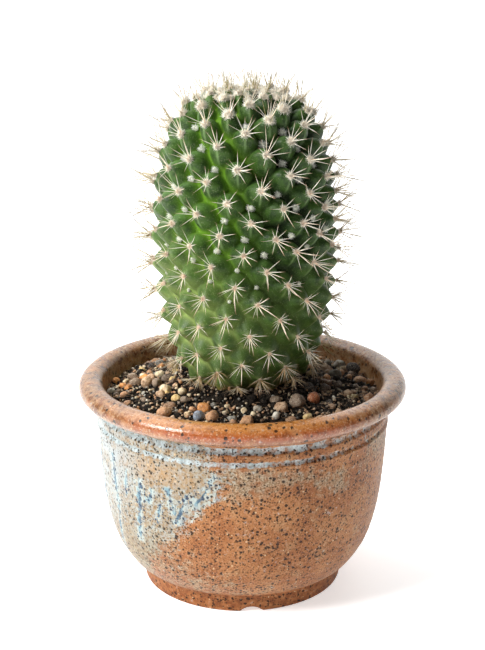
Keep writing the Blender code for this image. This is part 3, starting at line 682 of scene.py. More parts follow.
def spine_material(name, base, shaft, tip, roughness=0.45):
    """Horny spine, coloured along its length. Some are browner, by the field brown, which also carries
    painted shade on the spines at the stem's sides.
    """
    graph = Graph(name)
    share = graph.field("share")
    grain = graph.noise(0.5, 2.0)
    colour = graph.blend(share, 0.02, 0.3, base, shaft)
    colour = graph.tint(colour, share, 0.5, 0.95, 1.0, tip)
    brown = graph.blend(share, 0.35, 0.9, (164, 142, 84), (60, 46, 20))
    colour = graph.mix(graph.field("brown"), colour, brown)
    colour = graph.tint(colour, grain, 0.4, 0.7, 0.2, (255, 246, 226))
    return graph.finish(colour, graph.ramp(grain, 0.3, 0.7, roughness, roughness + 0.15))


def wool_material(name, deep, outer, old):
    """Felted wool, darker inside the tuft and browner on old areoles."""
    graph = Graph(name)
    grain = graph.noise(0.35)
    colour = graph.blend(graph.field("share"), 0.0, 0.7, deep, outer)
    colour = graph.mix(graph.times(graph.field("age"), 0.6), colour, tone(*old))
    colour = graph.tint(colour, grain, 0.42, 0.66, 0.45, (255, 252, 244))
    graph.shader.inputs["Sheen Weight"].default_value = 0.3
    return graph.finish(colour, graph.ramp(grain, 0.3, 0.7, 0.85, 0.98), graph.bump(grain, 0.15, 0.7))


def peat_material():
    """Dark crumbly peat with pale dust."""
    graph = Graph("peat")
    fine = graph.noise(0.35)
    colour = graph.blend(graph.noise(1.2, 5.0), 0.38, 0.62, (3, 2, 2), (46, 39, 33))
    colour = graph.tint(colour, fine, 0.55, 0.68, 0.6, (116, 102, 86))
    graph.shader.inputs["Specular IOR Level"].default_value = 0.15
    return graph.finish(colour, graph.ramp(fine, 0.3, 0.7, 0.85, 1.0), graph.bump(fine, 0.8))


def stone_material(name):
    """Worn stones, each with its own colour, mottled, pitted and dusty."""
    graph = Graph(name)
    broad = graph.noise(2.2)
    middle = graph.noise(0.9, 4.0)
    fine = graph.noise(0.3)
    colour = graph.field("tint", coloured=True)
    colour = graph.mix(graph.ramp(broad, 0.56, 0.36, 0.0, 0.6), colour, tone(196, 168, 140), "MULTIPLY")
    colour = graph.mix(graph.ramp(middle, 0.52, 0.68, 0.0, 0.7), colour, tone(168, 146, 124), "MULTIPLY")
    colour = graph.tint(colour, fine, 0.52, 0.7, 0.55, (238, 226, 206))
    pits = graph.specks(0.7, -0.1, 0.3, graph.distorted(0.4, 0.5))
    colour = graph.mix(graph.times(pits, 0.7), colour, tone(64, 46, 34))
    height = graph.scaled(middle, 2.0, graph.scaled(pits, -0.8, fine))
    return graph.finish(colour, graph.ramp(middle, 0.3, 0.7, 0.6, 0.85), graph.bump(height, 0.3, 0.9))


def floor_material():
    """Plain pale floor that glows a little, like a light table, so that shadows on it stay faint."""
    graph = Graph("pale_floor")
    graph.shader.inputs["Emission Color"].default_value = (1.0, 1.0, 1.0, 1.0)
    graph.shader.inputs["Emission Strength"].default_value = FLOOR_GLOW
    colour = graph.blend(graph.noise(400.0, 2.0), 0.3, 0.7, (246, 246, 246), (250, 250, 250))
    return graph.finish(colour, 0.9)


# Pot

def rim_profile(steps):
    """Rolled rim: an ellipse that droops outwards, from its underside over the top to the inside."""
    reach = math.hypot(RIM_HALF_WIDTH * math.cos(RIM_DROOP), RIM_HALF_HEIGHT * math.sin(RIM_DROOP))
    angles = np.linspace(*RIM_SWEEP, steps + 1)
    across = RIM_HALF_WIDTH * np.cos(angles)
    upward = RIM_HALF_HEIGHT * np.sin(angles)
    radii = RIM_RADIUS - reach + across * math.cos(RIM_DROOP) + upward * math.sin(RIM_DROOP)
    heights = RIM_CENTRE_HEIGHT - across * math.sin(RIM_DROOP) + upward * math.cos(RIM_DROOP)
    return np.stack((radii, heights), axis=-1)


def groove_profile():
    """Wall with two turned grooves, from the body's top to the rim."""
    heights = np.arange(61.6 * MM, 70.6 * MM, 0.3 * MM)
    cut = sum(band(heights, low, low + GROOVE_EDGE, high - GROOVE_EDGE, high) for low, high in GROOVES)
    return np.stack((GROOVE_WALL_RADIUS - GROOVE_DEPTH * cut, heights), axis=-1)


def in_groove(heights):
    """How deep in a groove a height lies, from 0 to 1."""
    return sum(
        band(heights, low - 0.1 * MM, low + 0.7 * MM, high - 1.0 * MM, high - 0.1 * MM)
        for low, high in GROOVES
    )


def notch_lift(radii, heights, angles):
    """Heights raised over the arched notches in the foot."""
    arch_radius = (NOTCH_WIDTH ** 2 / 4.0 + NOTCH_HEIGHT ** 2) / (2.0 * NOTCH_HEIGHT)
    lift = np.zeros(np.broadcast(radii, angles).shape)
    for degrees in NOTCH_ANGLES:
        away = np.angle(np.exp(1j * (angles - math.radians(degrees))))
        across = np.minimum(np.abs(radii * np.sin(away)), arch_radius)
        arch = np.sqrt(arch_radius ** 2 - across ** 2) - (arch_radius - NOTCH_HEIGHT)
        lift = np.maximum(lift, np.where(np.cos(away) > 0.5, arch, 0.0))
    share = np.clip(1.0 - heights / FOOT_HEIGHT, 0.0, 1.0)
    return heights + np.maximum(lift, 0.0) * share


def soft_spot(degrees, heights, centre, reach):
    """A blurred spot at (angle in degrees, height in mm), with its two reaches."""
    away = (degrees - centre[0]) / reach[0]
    return np.exp(-away ** 2 - ((heights / MM - centre[1]) / reach[1]) ** 2)


def stroke(degrees, heights, top, bottom, width):
    """A narrow run of glaze from one (angle, height in mm) to another: strength, and place across it."""
    height = heights / MM
    share = np.clip((top[1] - height) / (top[1] - bottom[1]), 0.0, 1.0)
    centre = top[0] + (bottom[0] - top[0]) * share
    over = np.maximum(height - top[1], 0.0) + np.maximum(bottom[1] - height, 0.0)
    side = (degrees - centre) * MM_PER_DEGREE
    return np.exp(-(side / 3.2) ** 2 - (over / 1.6) ** 2), side / width


# Runs of blue glaze, as (top, bottom, width), with angles in degrees and heights in mm
DRIPS = (
    ((-60.0, 56.0), (-58.3, 39.0), 0.9),
    ((-58.3, 39.0), (-64.5, 17.5), 0.8),
    ((-50.0, 53.0), (-51.5, 45.0), 0.6),
    ((-42.8, 51.5), (-43.4, 44.0), 1.5),
    ((-43.4, 44.0), (-45.6, 28.0), 0.85),
    ((-36.5, 49.0), (-38.0, 45.0), 0.9),
    ((-28.8, 51.0), (-25.6, 39.5), 1.0),
    ((-21.3, 49.5), (-25.6, 40.5), 0.8),
    ((-13.5, 53.0), (-17.5, 48.0), 0.6),
    ((-10.5, 58.5), (-12.5, 55.5), 0.7),
    ((-33.0, 44.0), (-35.0, 38.0), 0.5),
    ((-78.0, 60.0), (-74.0, 24.0), 0.9),
    ((-95.0, 58.0), (-92.0, 40.0), 0.7),
    ((-112.0, 58.0), (-108.0, 30.0), 1.0),
    ((-138.0, 56.0), (-141.0, 36.0), 0.9),
    ((152.0, 57.0), (149.0, 34.0), 0.9),
)
# Pale patches on the front and round the back: (angle, height in mm), their reaches and strength
HAZE_SPOTS = (
    ((0.0, 53.0), (9.0, 3.6), 0.8),
    ((2.0, 59.0), (18.0, 4.0), 1.0),
    ((26.0, 55.0), (16.0, 4.5), 0.6),
    ((40.0, 50.5), (9.0, 4.0), 0.65),
    ((66.0, 60.0), (16.0, 7.0), 0.85),
    ((84.0, 46.0), (12.0, 12.0), 0.5),
    ((-38.0, 20.0), (22.0, 12.0), 0.7),
    ((-14.0, 13.0), (20.0, 5.0), 0.45),
    ((20.0, 10.0), (40.0, 3.0), 0.3),
    ((140.0, 50.0), (26.0, 12.0), 0.9),
    ((190.0, 44.0), (20.0, 9.0), 0.5),
)
TAN_SPOT = ((-33.0, 57.0), (18.0, 4.5))
# The wash's two edges, in degrees at heights in mm
WASH_EDGE_HEIGHTS = (8.0, 14.0, 20.0, 29.0, 37.0, 46.0, 50.0, 56.5, 59.0, 63.0)
WASH_EDGE_ANGLES = (-54.0, -50.0, -44.0, -34.0, -25.0, -17.0, -11.5, -7.5, -9.0, -16.0)
WASH_BACK_ANGLES = (-124.0, -131.0, -140.0, -152.0, -147.0, -163.0, -155.0, -170.0, -164.0, -150.0)


def pot_fields(grid, rim, rim_turn, inside, foot):
    """Where each finish lies on the pot's points."""
    degrees = np.degrees(np.arctan2(grid[:, :, 0], -grid[:, :, 1]))
    heights = grid[:, :, 2]
    outside = (1.0 - rim) * (1.0 - inside) * (1.0 - foot)
    edge = np.interp(heights / MM, WASH_EDGE_HEIGHTS, WASH_EDGE_ANGLES)
    back_edge = np.interp(heights / MM, WASH_EDGE_HEIGHTS, WASH_BACK_ANGLES)
    leftward = np.where(degrees > 90.0, degrees - 360.0, degrees)
    wash = np.minimum(edge - leftward, leftward - back_edge) * MM_PER_DEGREE
    run = np.zeros(heights.shape)
    run_side = np.full(heights.shape, 9.0)
    for top, bottom, width in DRIPS:
        strength, side = stroke(degrees, heights, top, bottom, width)
        run_side = np.where(strength > run, side, run_side)
        run = np.maximum(run, strength)
    haze = np.zeros(heights.shape)
    for centre, reach, strength in HAZE_SPOTS:
        away = (degrees - centre[0] + 180.0) % 360.0 - 180.0
        haze += strength * soft_spot(away, heights, (0.0, centre[1]), reach)
    lip = band(heights, 32.0 * MM, 44.0 * MM, 55.0 * MM, 59.0 * MM)
    plainer = band(degrees, 0.0, 60.0, 140.0, 180.0)
    return {
        "rim": rim,
        "rim_turn": rim_turn,
        "rim_end": band(np.abs(degrees), 24.0, 58.0, 140.0, 175.0),
        "inside": inside,
        "foot": foot,
        "wash": np.where(outside > 0.5, wash, -40.0),
        "level": heights / MM,
        "run": run * outside,
        "run_side": run_side,
        "haze": haze * outside,
        "tan": soft_spot(degrees, heights, *TAN_SPOT),
        "lip": lip * smoothstep(-70.0, -30.0, degrees),
        "groove": in_groove(heights) * outside * (1.0 - 0.55 * plainer),
    }


def pot_profile():
    """The pot's outline as (radius, height), and the name of the run that each point is in."""
    runs = {
        "foot": smooth_curve(FOOT_POINTS, 14),
        "body": smooth_curve(BODY_POINTS, 74),
        "grooves": groove_profile(),
        "rim": rim_profile(RIM_STEPS),
        "inner": smooth_curve(INNER_WALL_POINTS, 34)[::-1][1:],
        "under": straight_steps(UNDERSIDE_POINTS, 3.0 * MM),
    }
    kind = np.repeat(list(runs), [len(run) for run in runs.values()])
    return np.vstack(list(runs.values())), kind[:, None]


def finish_shares(kind, level):
    """Shares of the rim, the inside and the foot in each row, which fade over a short way."""
    on_rim = np.maximum(kind == "rim", (kind == "grooves") * smoothstep(69.8 * MM, 70.6 * MM, level))
    behind = np.arange(len(kind))[:, None] > np.argmax(kind == "rim") + RIM_INNER_STEP
    inside = np.maximum(kind == "inner", behind * smoothstep(73.5 * MM, 70.0 * MM, level))
    inside = inside * (kind != "under")
    low = (kind == "body") * smoothstep(8.6 * MM, 7.2 * MM, level)
    return on_rim * (1.0 - inside), inside, np.maximum(np.isin(kind, ("foot", "under")), low)


def build_pot():
    """Stoneware pot, turned with faint throwing rings."""
    profile, kind = pot_profile()
    radii, level = profile[:, :1], profile[:, 1:]
    angles = even_angles(POT_AROUND)

    # Throwing rings and an uneven wall only ever move inwards, so the pot keeps its size
    wall = band(level, 9.0 * MM, 16.0 * MM, 58.0 * MM, 62.0 * MM) * (kind == "body")
    rings = np.sin(level * math.tau / (3.6 * MM) + 0.6 * np.sin(2.0 * angles + 1.0))
    sway = np.sin(2.0 * angles + level * 60.0) + np.sin(3.0 * angles - level * 95.0)
    radii = radii - wall * (0.05 * MM * (1.0 + rings) + 0.09 * MM * (2.0 + sway))
    grid = around_axis(radii, angles, notch_lift(radii, np.broadcast_to(level, radii.shape), angles))

    rim, inside, foot = finish_shares(kind, level)
    rim_turn = np.where(kind == "inner", RIM_SWEEP[1], RIM_SWEEP[0])
    rim_turn[kind == "rim"] = np.linspace(*RIM_SWEEP, RIM_STEPS + 1)
    fields = pot_fields(grid, rim, rim_turn, inside, foot)
    fields = {name: np.broadcast_to(values, radii.shape).ravel() for name, values in fields.items()}
    points, faces = grid.reshape(-1, 3), ring_quads(*radii.shape, closed=True)
    add_piece("pot_stoneware", points, faces, stoneware_material(), fields, ("pot",))


# Potting mix

def mound_height(radius):
    """Height of the mix's mounded surface at a distance from the pot's axis."""
    across = np.clip((radius - NECK_RADIUS) / (SOIL_MOUND_EDGE - NECK_RADIUS), 0.0, 1.0)
    heap = SOIL_HEAP * np.exp(-((radius - NECK_RADIUS) / SOIL_HEAP_REACH) ** 2)
    return SOIL_AT_STEM + (SOIL_EDGE[1] - SOIL_AT_STEM) * across ** SOIL_MOUND_POWER + heap


def crumbly(points, size, seed):
    """Crumbly noise, from about -1 to 1, at each point."""
    shift = Vector((seed * 7.3, seed * 3.1, seed * 5.7))
    values = []
    for point in points.reshape(-1, 3):
        place = Vector(point) / size + shift
        values.append(noise.noise(place) + 0.6 * noise.noise(place * 2.3) + 0.4 * noise.noise(place * 5.1))
    return np.array(values).reshape(points.shape[:-1])


def build_soil_bed():
    """The body of the mix, which fills the pot and has a hole for the root."""
    bottom = straight_steps(SOIL_BOTTOM_POINTS, 4.0 * MM)
    wall = smooth_curve(INNER_WALL_POINTS, 16)[1:-1] - (0.4 * MM, 0.0)
    top_radii = np.linspace(SOIL_EDGE[0], SOIL_HOLE_RADIUS, 66)
    top = np.stack((top_radii, mound_height(top_radii)), axis=-1)
    hole = np.array(SOIL_HOLE_POINTS) * MM
    profile = np.vstack((bottom, wall, top, hole))
    grid = around_axis(profile[:, :1], even_angles(SOIL_AROUND), profile[:, 1:])
    first, last = len(bottom) + len(wall), len(profile) - len(hole)

    # The hole stands round the stem's axis, and the sheet eases from it to the pot's axis
    ease = np.linspace(0.0, 1.0, last - first) ** 2
    shift = np.concatenate((np.zeros(first), ease, np.ones(len(hole))))
    grid[:, :, 0] += (shift * STEM_AXIS_X)[:, None]
    sheet = grid[first:last]
    rough = crumbly(sheet, 1.9 * MM, 1) * 0.42 * MM + crumbly(sheet, 7.0 * MM, 2) * 0.5 * MM
    calm = smoothstep(0.0, 2.0 * MM, SOIL_EDGE[0] - top_radii)[:, None]
    sheet[:, :, 2] += rough * calm - 0.3 * MM
    points, faces = loft(grid)
    add_piece("soil_bed", points, faces, peat_material(), None, ("soil",))


STONE_TONES = {
    "white": (232, 226, 208),
    "cream": (224, 206, 170),
    "yellow": (214, 184, 122),
    "beige": (196, 162, 128),
    "tan": (184, 138, 98),
    "ochre": (196, 130, 62),
    "rust": (164, 94, 48),
    "khaki": (150, 134, 92),
    "taupe": (138, 118, 98),
    "brown": (112, 86, 66),
    "grey": (134, 132, 124),
    "pale_grey": (168, 164, 152),
    "blue_grey": (132, 144, 160),
    "dark": (58, 48, 44),
}
# Stones seen in front: tone, place in the picture (across, down), radius in mm and flatness
SEEN_STONES = (
    ("cream", 160.0, 374.1, 1.7, 0.9), ("beige", 146.2, 381.2, 2.3, 0.95),
    ("taupe", 156.9, 381.7, 1.9, 0.8), ("cream", 165.6, 388.4, 1.9, 0.9),
    ("beige", 160.5, 393.0, 1.8, 0.8), ("yellow", 167.1, 393.0, 1.2, 0.9),
    ("yellow", 175.8, 396.5, 1.7, 0.7), ("tan", 164.1, 412.3, 2.4, 0.95),
    ("ochre", 203.9, 407.2, 2.1, 0.85), ("tan", 192.7, 408.3, 1.3, 0.7),
    ("blue_grey", 198.8, 415.4, 1.9, 0.95), ("cream", 227.3, 405.2, 1.2, 0.7),
    ("grey", 231.9, 416.4, 1.7, 0.6), ("pale_grey", 112.0, 389.9, 1.6, 0.7),
    ("ochre", 116.1, 380.2, 1.5, 0.8), ("ochre", 123.3, 385.3, 1.2, 0.9),
    ("ochre", 128.4, 386.8, 1.4, 0.8), ("taupe", 132.4, 376.1, 1.7, 0.9),
    ("yellow", 142.1, 370.0, 1.3, 0.95), ("tan", 149.8, 372.6, 1.1, 0.9),
    ("brown", 148.8, 362.9, 1.6, 0.7), ("tan", 124.3, 394.0, 1.5, 0.8), ("tan", 126.8, 402.1, 1.6, 0.6),
    ("yellow", 172.8, 378.2, 1.2, 0.8), ("beige", 175.3, 384.3, 1.0, 0.8),
    ("cream", 187.6, 414.4, 1.1, 0.9), ("cream", 189.1, 395.0, 0.8, 0.9),
    ("pale_grey", 339.0, 362.9, 2.5, 0.75), ("tan", 360.4, 378.2, 2.5, 0.6),
    ("ochre", 372.7, 382.2, 1.6, 0.8), ("taupe", 297.7, 400.6, 2.6, 0.9),
    ("rust", 314.0, 398.1, 2.1, 0.95), ("beige", 280.8, 405.2, 2.4, 0.75),
    ("white", 276.2, 415.9, 1.4, 0.95), ("yellow", 308.4, 415.9, 1.8, 0.8),
    ("beige", 319.6, 416.4, 1.6, 0.6), ("beige", 339.5, 410.8, 2.0, 0.6),
    ("tan", 368.6, 397.0, 2.1, 0.85), ("khaki", 354.8, 396.0, 1.5, 0.8),
    ("beige", 348.2, 392.4, 1.6, 0.8), ("white", 333.9, 397.6, 0.8, 0.9),
    ("tan", 247.1, 418.0, 2.5, 0.65), ("cream", 252.8, 412.9, 1.2, 0.8),
    ("pale_grey", 257.9, 407.8, 1.4, 0.8), ("yellow", 267.0, 393.5, 1.1, 0.95),
    ("cream", 246.6, 393.5, 0.9, 0.9), ("cream", 244.1, 400.6, 1.0, 0.9),
    ("ochre", 326.7, 377.7, 1.6, 0.9), ("tan", 341.0, 372.6, 1.2, 0.9), ("dark", 357.3, 368.0, 2.6, 0.8),
)
STONE_CHANCES = (
    ("cream", 0.11), ("beige", 0.15), ("tan", 0.13), ("taupe", 0.17), ("grey", 0.12), ("ochre", 0.07),
    ("brown", 0.1), ("dark", 0.11), ("pale_grey", 0.05), ("yellow", 0.03),
)
GRIT_CHANCES = (
    ("cream", 0.2), ("beige", 0.22), ("tan", 0.16), ("taupe", 0.16), ("grey", 0.1), ("white", 0.06),
    ("brown", 0.1),
)


def place_on_mix(across, down, lift):
    """Where the camera's ray through a place in the picture meets the mix."""
    right = (across - PICTURE[0] / 2.0) / FOCAL_PIXELS
    up = (PICTURE[1] / 2.0 - down) / FOCAL_PIXELS
    ahead = math.cos(CAMERA_DOWN) + up * math.sin(CAMERA_DOWN)
    rise = up * math.cos(CAMERA_DOWN) - math.sin(CAMERA_DOWN)
    height = SOIL_EDGE[1]
    for _ in range(30):
        length = (height + lift - CAMERA_PLACE[2]) / rise
        x, y = right * length, CAMERA_PLACE[1] + ahead * length
        height = float(mound_height(math.hypot(x, y)))
    return x, y


def seen_stones():
    """Stones that show in the picture: place, radius, flatness and tone."""
    stones = []
    for name, across, down, size, flat in SEEN_STONES:
        size *= STONE_GROWTH * MM
        x, y = place_on_mix(across, down, size * 0.6)
        reach = math.hypot(x, y)
        most = STONES_OUTER - 0.1 * MM - size * 0.8
        if reach > most:
            x, y = x * most / reach, y * most / reach
        stones.append((x, y, size, flat, name))
    return stones


def scattered_stones(stones, count, sizes, overlap, rng):
    """Add stones at random, clear of the ones placed before them."""
    names = [name for name, _ in STONE_CHANCES]
    chances = np.array([chance for _, chance in STONE_CHANCES])
    chances /= chances.sum()
    placed = np.array([(x, y, size) for x, y, size, _, _ in stones])
    added = 0
    for _ in range(count * 40):
        if added == count:
            break
        size = rng.uniform(*sizes) * MM
        radius = math.sqrt(rng.uniform((STONES_INNER + size) ** 2, (STONES_OUTER - size * 0.7) ** 2))
        angle = rng.uniform(-math.pi, math.pi)
        x, y = radius * math.sin(angle), -radius * math.cos(angle)
        # Fewer stones lie on the bare peat at the front, near the stem
        bare = math.exp(-(angle / 0.95) ** 2) * math.exp(-((radius - 22.0 * MM) / (14.0 * MM)) ** 2)
        if rng.uniform() < 0.93 * bare:
            continue
        away = np.hypot(placed[:, 0] - x, placed[:, 1] - y) - (placed[:, 2] + size) * overlap
        if away.min() > 0.0:
            placed = np.vstack((placed, (x, y, size)))
            stones.append((x, y, size, rng.uniform(0.62, 0.95), names[rng.choice(len(names), p=chances)]))
            added += 1
    return stones


def stone_tints(names, across, darkest, rng):
    """Colours of the stones, each paler or darker by chance. Those on the right get painted shade."""
    tints = np.array([tone(*STONE_TONES[name]) for name in names])
    # Stones and grit on the right get painted shade
    painted_shade_right = np.interp(across, (-20.0 * MM, 30.0 * MM), (1.05, 0.66))
    tints[:, :3] *= (rng.uniform(darkest, 1.35, size=len(names)) * painted_shade_right)[:, None]
    return tints


def build_stones():
    """Pebbles, smaller stones and grit on top of the mix."""
    rng = np.random.default_rng(STONE_SEED)
    material = stone_material("grit_stones")
    seen = seen_stones()
    large = scattered_stones(list(seen), 60, (1.5, 2.7), 0.9, rng)
    small = scattered_stones(list(large), 130, (0.7, 1.6), 0.85, rng)
    groups = (
        ("front_pebbles", seen, 3, 0.2, 0.95),
        ("pebbles", large[len(seen):], 3, 0.26, 0.55),
        ("small_stones", small[len(large):], 2, 0.24, 0.6),
    )
    for name, group, subdivisions, bury, darkest in groups:
        x, y, sizes, flat, tones = (np.array(values) for values in zip(*group))
        heights = mound_height(np.hypot(x, y)) + sizes * (flat - 2.0 * bury)
        centres = np.stack((x, y, heights), axis=-1)
        points, faces, number = lumps(centres, sizes, flat, subdivisions, rng, 12, 20.0, 0.08)
        tints = stone_tints(tones, x, darkest, rng)
        add_piece(name, points, faces, material, {"tint": tints[number]})


def build_clumps():
    """Rough clumps of peat, heaped round the stem and between the stones."""
    rng = np.random.default_rng(CLUMP_SEED)
    angle = even_angles(CLUMPS_AT_STEM) + rng.normal(scale=0.1, size=CLUMPS_AT_STEM)
    radius = rng.uniform(22.0, 26.0, size=CLUMPS_AT_STEM) * MM
    ring = around_axis(radius, angle, mound_height(radius))
    ring[:, 0] += STEM_AXIS_X
    places = np.vstack((ring, scatter_on_mix(CLUMPS_ELSEWHERE, rng, 27.0, 47.5)))
    sizes = rng.uniform(1.4, 2.7, size=len(places)) * MM
    places[:, 2] -= sizes * 0.1
    points, faces, _ = lumps(places, sizes, rng.uniform(0.6, 0.9, size=len(places)), 3, rng, 7, 6.0, 0.3)
    add_piece("peat_clumps", points, faces, peat_material())


def scatter_on_mix(count, rng, inner=20.0, outer=49.9):
    """Random places on the mix, as (x, y, ground height)."""
    radius = np.sqrt(rng.uniform((inner * MM) ** 2, (outer * MM) ** 2, size=count))
    angle = rng.uniform(-math.pi, math.pi, size=count)
    return around_axis(radius, angle, mound_height(radius))


def crumbs(count, sizes, power, rises, rng):
    """Small crumbs all over the mix: how far to the right each is, points, faces and number."""
    places = scatter_on_mix(count, rng)
    sizes = rng.uniform(*sizes, size=count) ** power * MM
    places[:, 2] += rng.uniform(*rises, size=count) * MM
    return places[:, 0], *lumps(places, sizes, np.full(count, 0.8), 1, rng, 6, 5.0)


def build_crumbs():
    """Peat crumbs, pale grit and dry fibres between the stones."""
    rng = np.random.default_rng(CRUMB_SEED)
    _, points, faces, _ = crumbs(PEAT_CRUMBS, (0.36, 1.2), 1.3, (-0.5, 0.3), rng)
    add_piece("peat_crumbs", points, faces, peat_material())

    across, points, faces, number = crumbs(GRIT_GRAINS, (0.26, 0.85), 1.0, (0.0, 0.7), rng)
    names, chances = zip(*GRIT_CHANCES)
    picks = rng.choice(len(names), size=GRIT_GRAINS, p=chances)
    tints = stone_tints([names[pick] for pick in picks], across, 0.7, rng)
    add_piece("grit", points, faces, stone_material("fine_grit"), {"tint": tints[number]})

    count = DRY_FIBRES
    places = scatter_on_mix(count, rng, 20.0, 47.0)
    places[:, 2] += rng.uniform(0.1, 0.9, size=count) * MM
    turn = rng.uniform(0.0, math.tau, size=count)
    length = rng.uniform(1.5, 5.5, size=count) * MM
    rise = rng.uniform(-0.05, 0.3, size=count)
    reaches = np.stack((np.cos(turn), np.sin(turn), rise), axis=-1) * length[:, None]
    bows = rng.normal(scale=0.4, size=(count, 3)) * MM
    points, faces, share = tapers(places, reaches, rng.uniform(0.12, 0.22, size=count) * MM, bows, 4, 4)
    material = spine_material("dry_fibres", (96, 66, 44), (150, 116, 84), (120, 88, 60), 0.8)
    add_piece("dry_fibres", points, faces, material, {"share": share})


# Stem

class Stem:
    """Surface through the tubercles' tips, by distance along its outline and by angle."""

    def __init__(self):
        outline = smooth_curve(STEM_POINTS, 900)
        outline[:, 0] = np.maximum(outline[:, 0], 0.0)
        self.distance = np.concatenate(([0.0], np.cumsum(np.hypot(*np.diff(outline, axis=0).T))))
        self.length = float(self.distance[-1])
        # The neck and the root, below the mix's surface, have negative distances
        root = smooth_curve(ROOT_POINTS, 40)
        lengths = np.hypot(*np.diff(root, axis=0).T)
        below = np.concatenate(([0.0], np.cumsum(lengths))) - lengths.sum()
        self.lowest = float(below[0])
        self.distance = np.concatenate((below[:-1], self.distance))
        self.radius = np.concatenate((root[:-1, 0], outline[:, 0]))
        self.height = np.concatenate((root[:-1, 1], outline[:, 1]))

    def radius_at(self, distance):
        return np.interp(distance, self.distance, self.radius)

    def height_at(self, distance):
        return np.interp(distance, self.distance, self.height)

    def distance_at_radius(self, radius):
        """Distance on the dome, where the outline runs in to the axis."""
        widest = int(np.argmax(self.radius))
        return float(np.interp(-radius, -self.radius[widest:], self.distance[widest:]))

    def frame_at(self, distance, angle):
        """Points, outward normals and upward tangents."""
        distance, angle = np.broadcast_arrays(distance, angle)
        step = 0.5 * MM
        low = np.maximum(distance - step, self.lowest)
        high = np.minimum(distance + step, self.length)
        outward_run = self.radius_at(high) - self.radius_at(low)
        upward_run = self.height_at(high) - self.height_at(low)
        size = np.hypot(outward_run, upward_run)
        out, up = outward_run / size, upward_run / size
        zero = np.zeros(np.shape(angle))
        outward = np.stack((np.sin(angle), -np.cos(angle), zero), axis=-1)
        rise = np.array((0.0, 0.0, 1.0))
        place = outward * self.radius_at(distance)[..., None] + rise * self.height_at(distance)[..., None]
        place[..., 0] += STEM_AXIS_X
        normal = outward * up[..., None] - rise * out[..., None]
        upward = outward * out[..., None] + rise * up[..., None]
        return place, normal, upward


def by_height(values, height):
    """A value that changes along the stem, read at a height."""
    return np.interp(height, HEIGHTS, values)


def spiral_place(stem, index):
    """Distance and angle of one areole, before its jitter."""
    if index < 0:
        distance = FIRST_DISTANCE + index * COLUMN_RISE
    elif index < CROWN_START:
        distance = FIRST_DISTANCE + index * DOME_RISE
    else:
        crown_radius = stem.radius_at(FIRST_DISTANCE + CROWN_START * DOME_RISE)
        left = 1.0 - (index - CROWN_START + 0.5) / (CROWN_AREOLES + 0.5)
        distance = stem.distance_at_radius(float(crown_radius) * math.sqrt(left))
    return distance, math.remainder(FIRST_ANGLE + index * TURN_STEP, math.tau)


def areole_places(stem):
    """Distance and angle of every areole, from the lowest to the apex."""
    rng = random.Random(STEM_SEED)
    places = []
    for index in range(LOWEST_AREOLE, CROWN_START + CROWN_AREOLES):
        distance, angle = spiral_place(stem, index)
        patch = math.exp(
            -((angle - DRIFT_ANGLE) / DRIFT_ANGLE_REACH) ** 2
            - ((float(stem.height_at(distance)) - DRIFT_HEIGHT) / DRIFT_HEIGHT_REACH) ** 2
        )
        radius = float(stem.radius_at(distance))
        distance += DRIFT_UP * patch + rng.uniform(-JITTER, JITTER)
        angle += (rng.uniform(-JITTER, JITTER) - DRIFT_LEFT * patch) / max(radius, 4.0 * MM)
        places.append((distance, angle))
    return np.array(places)


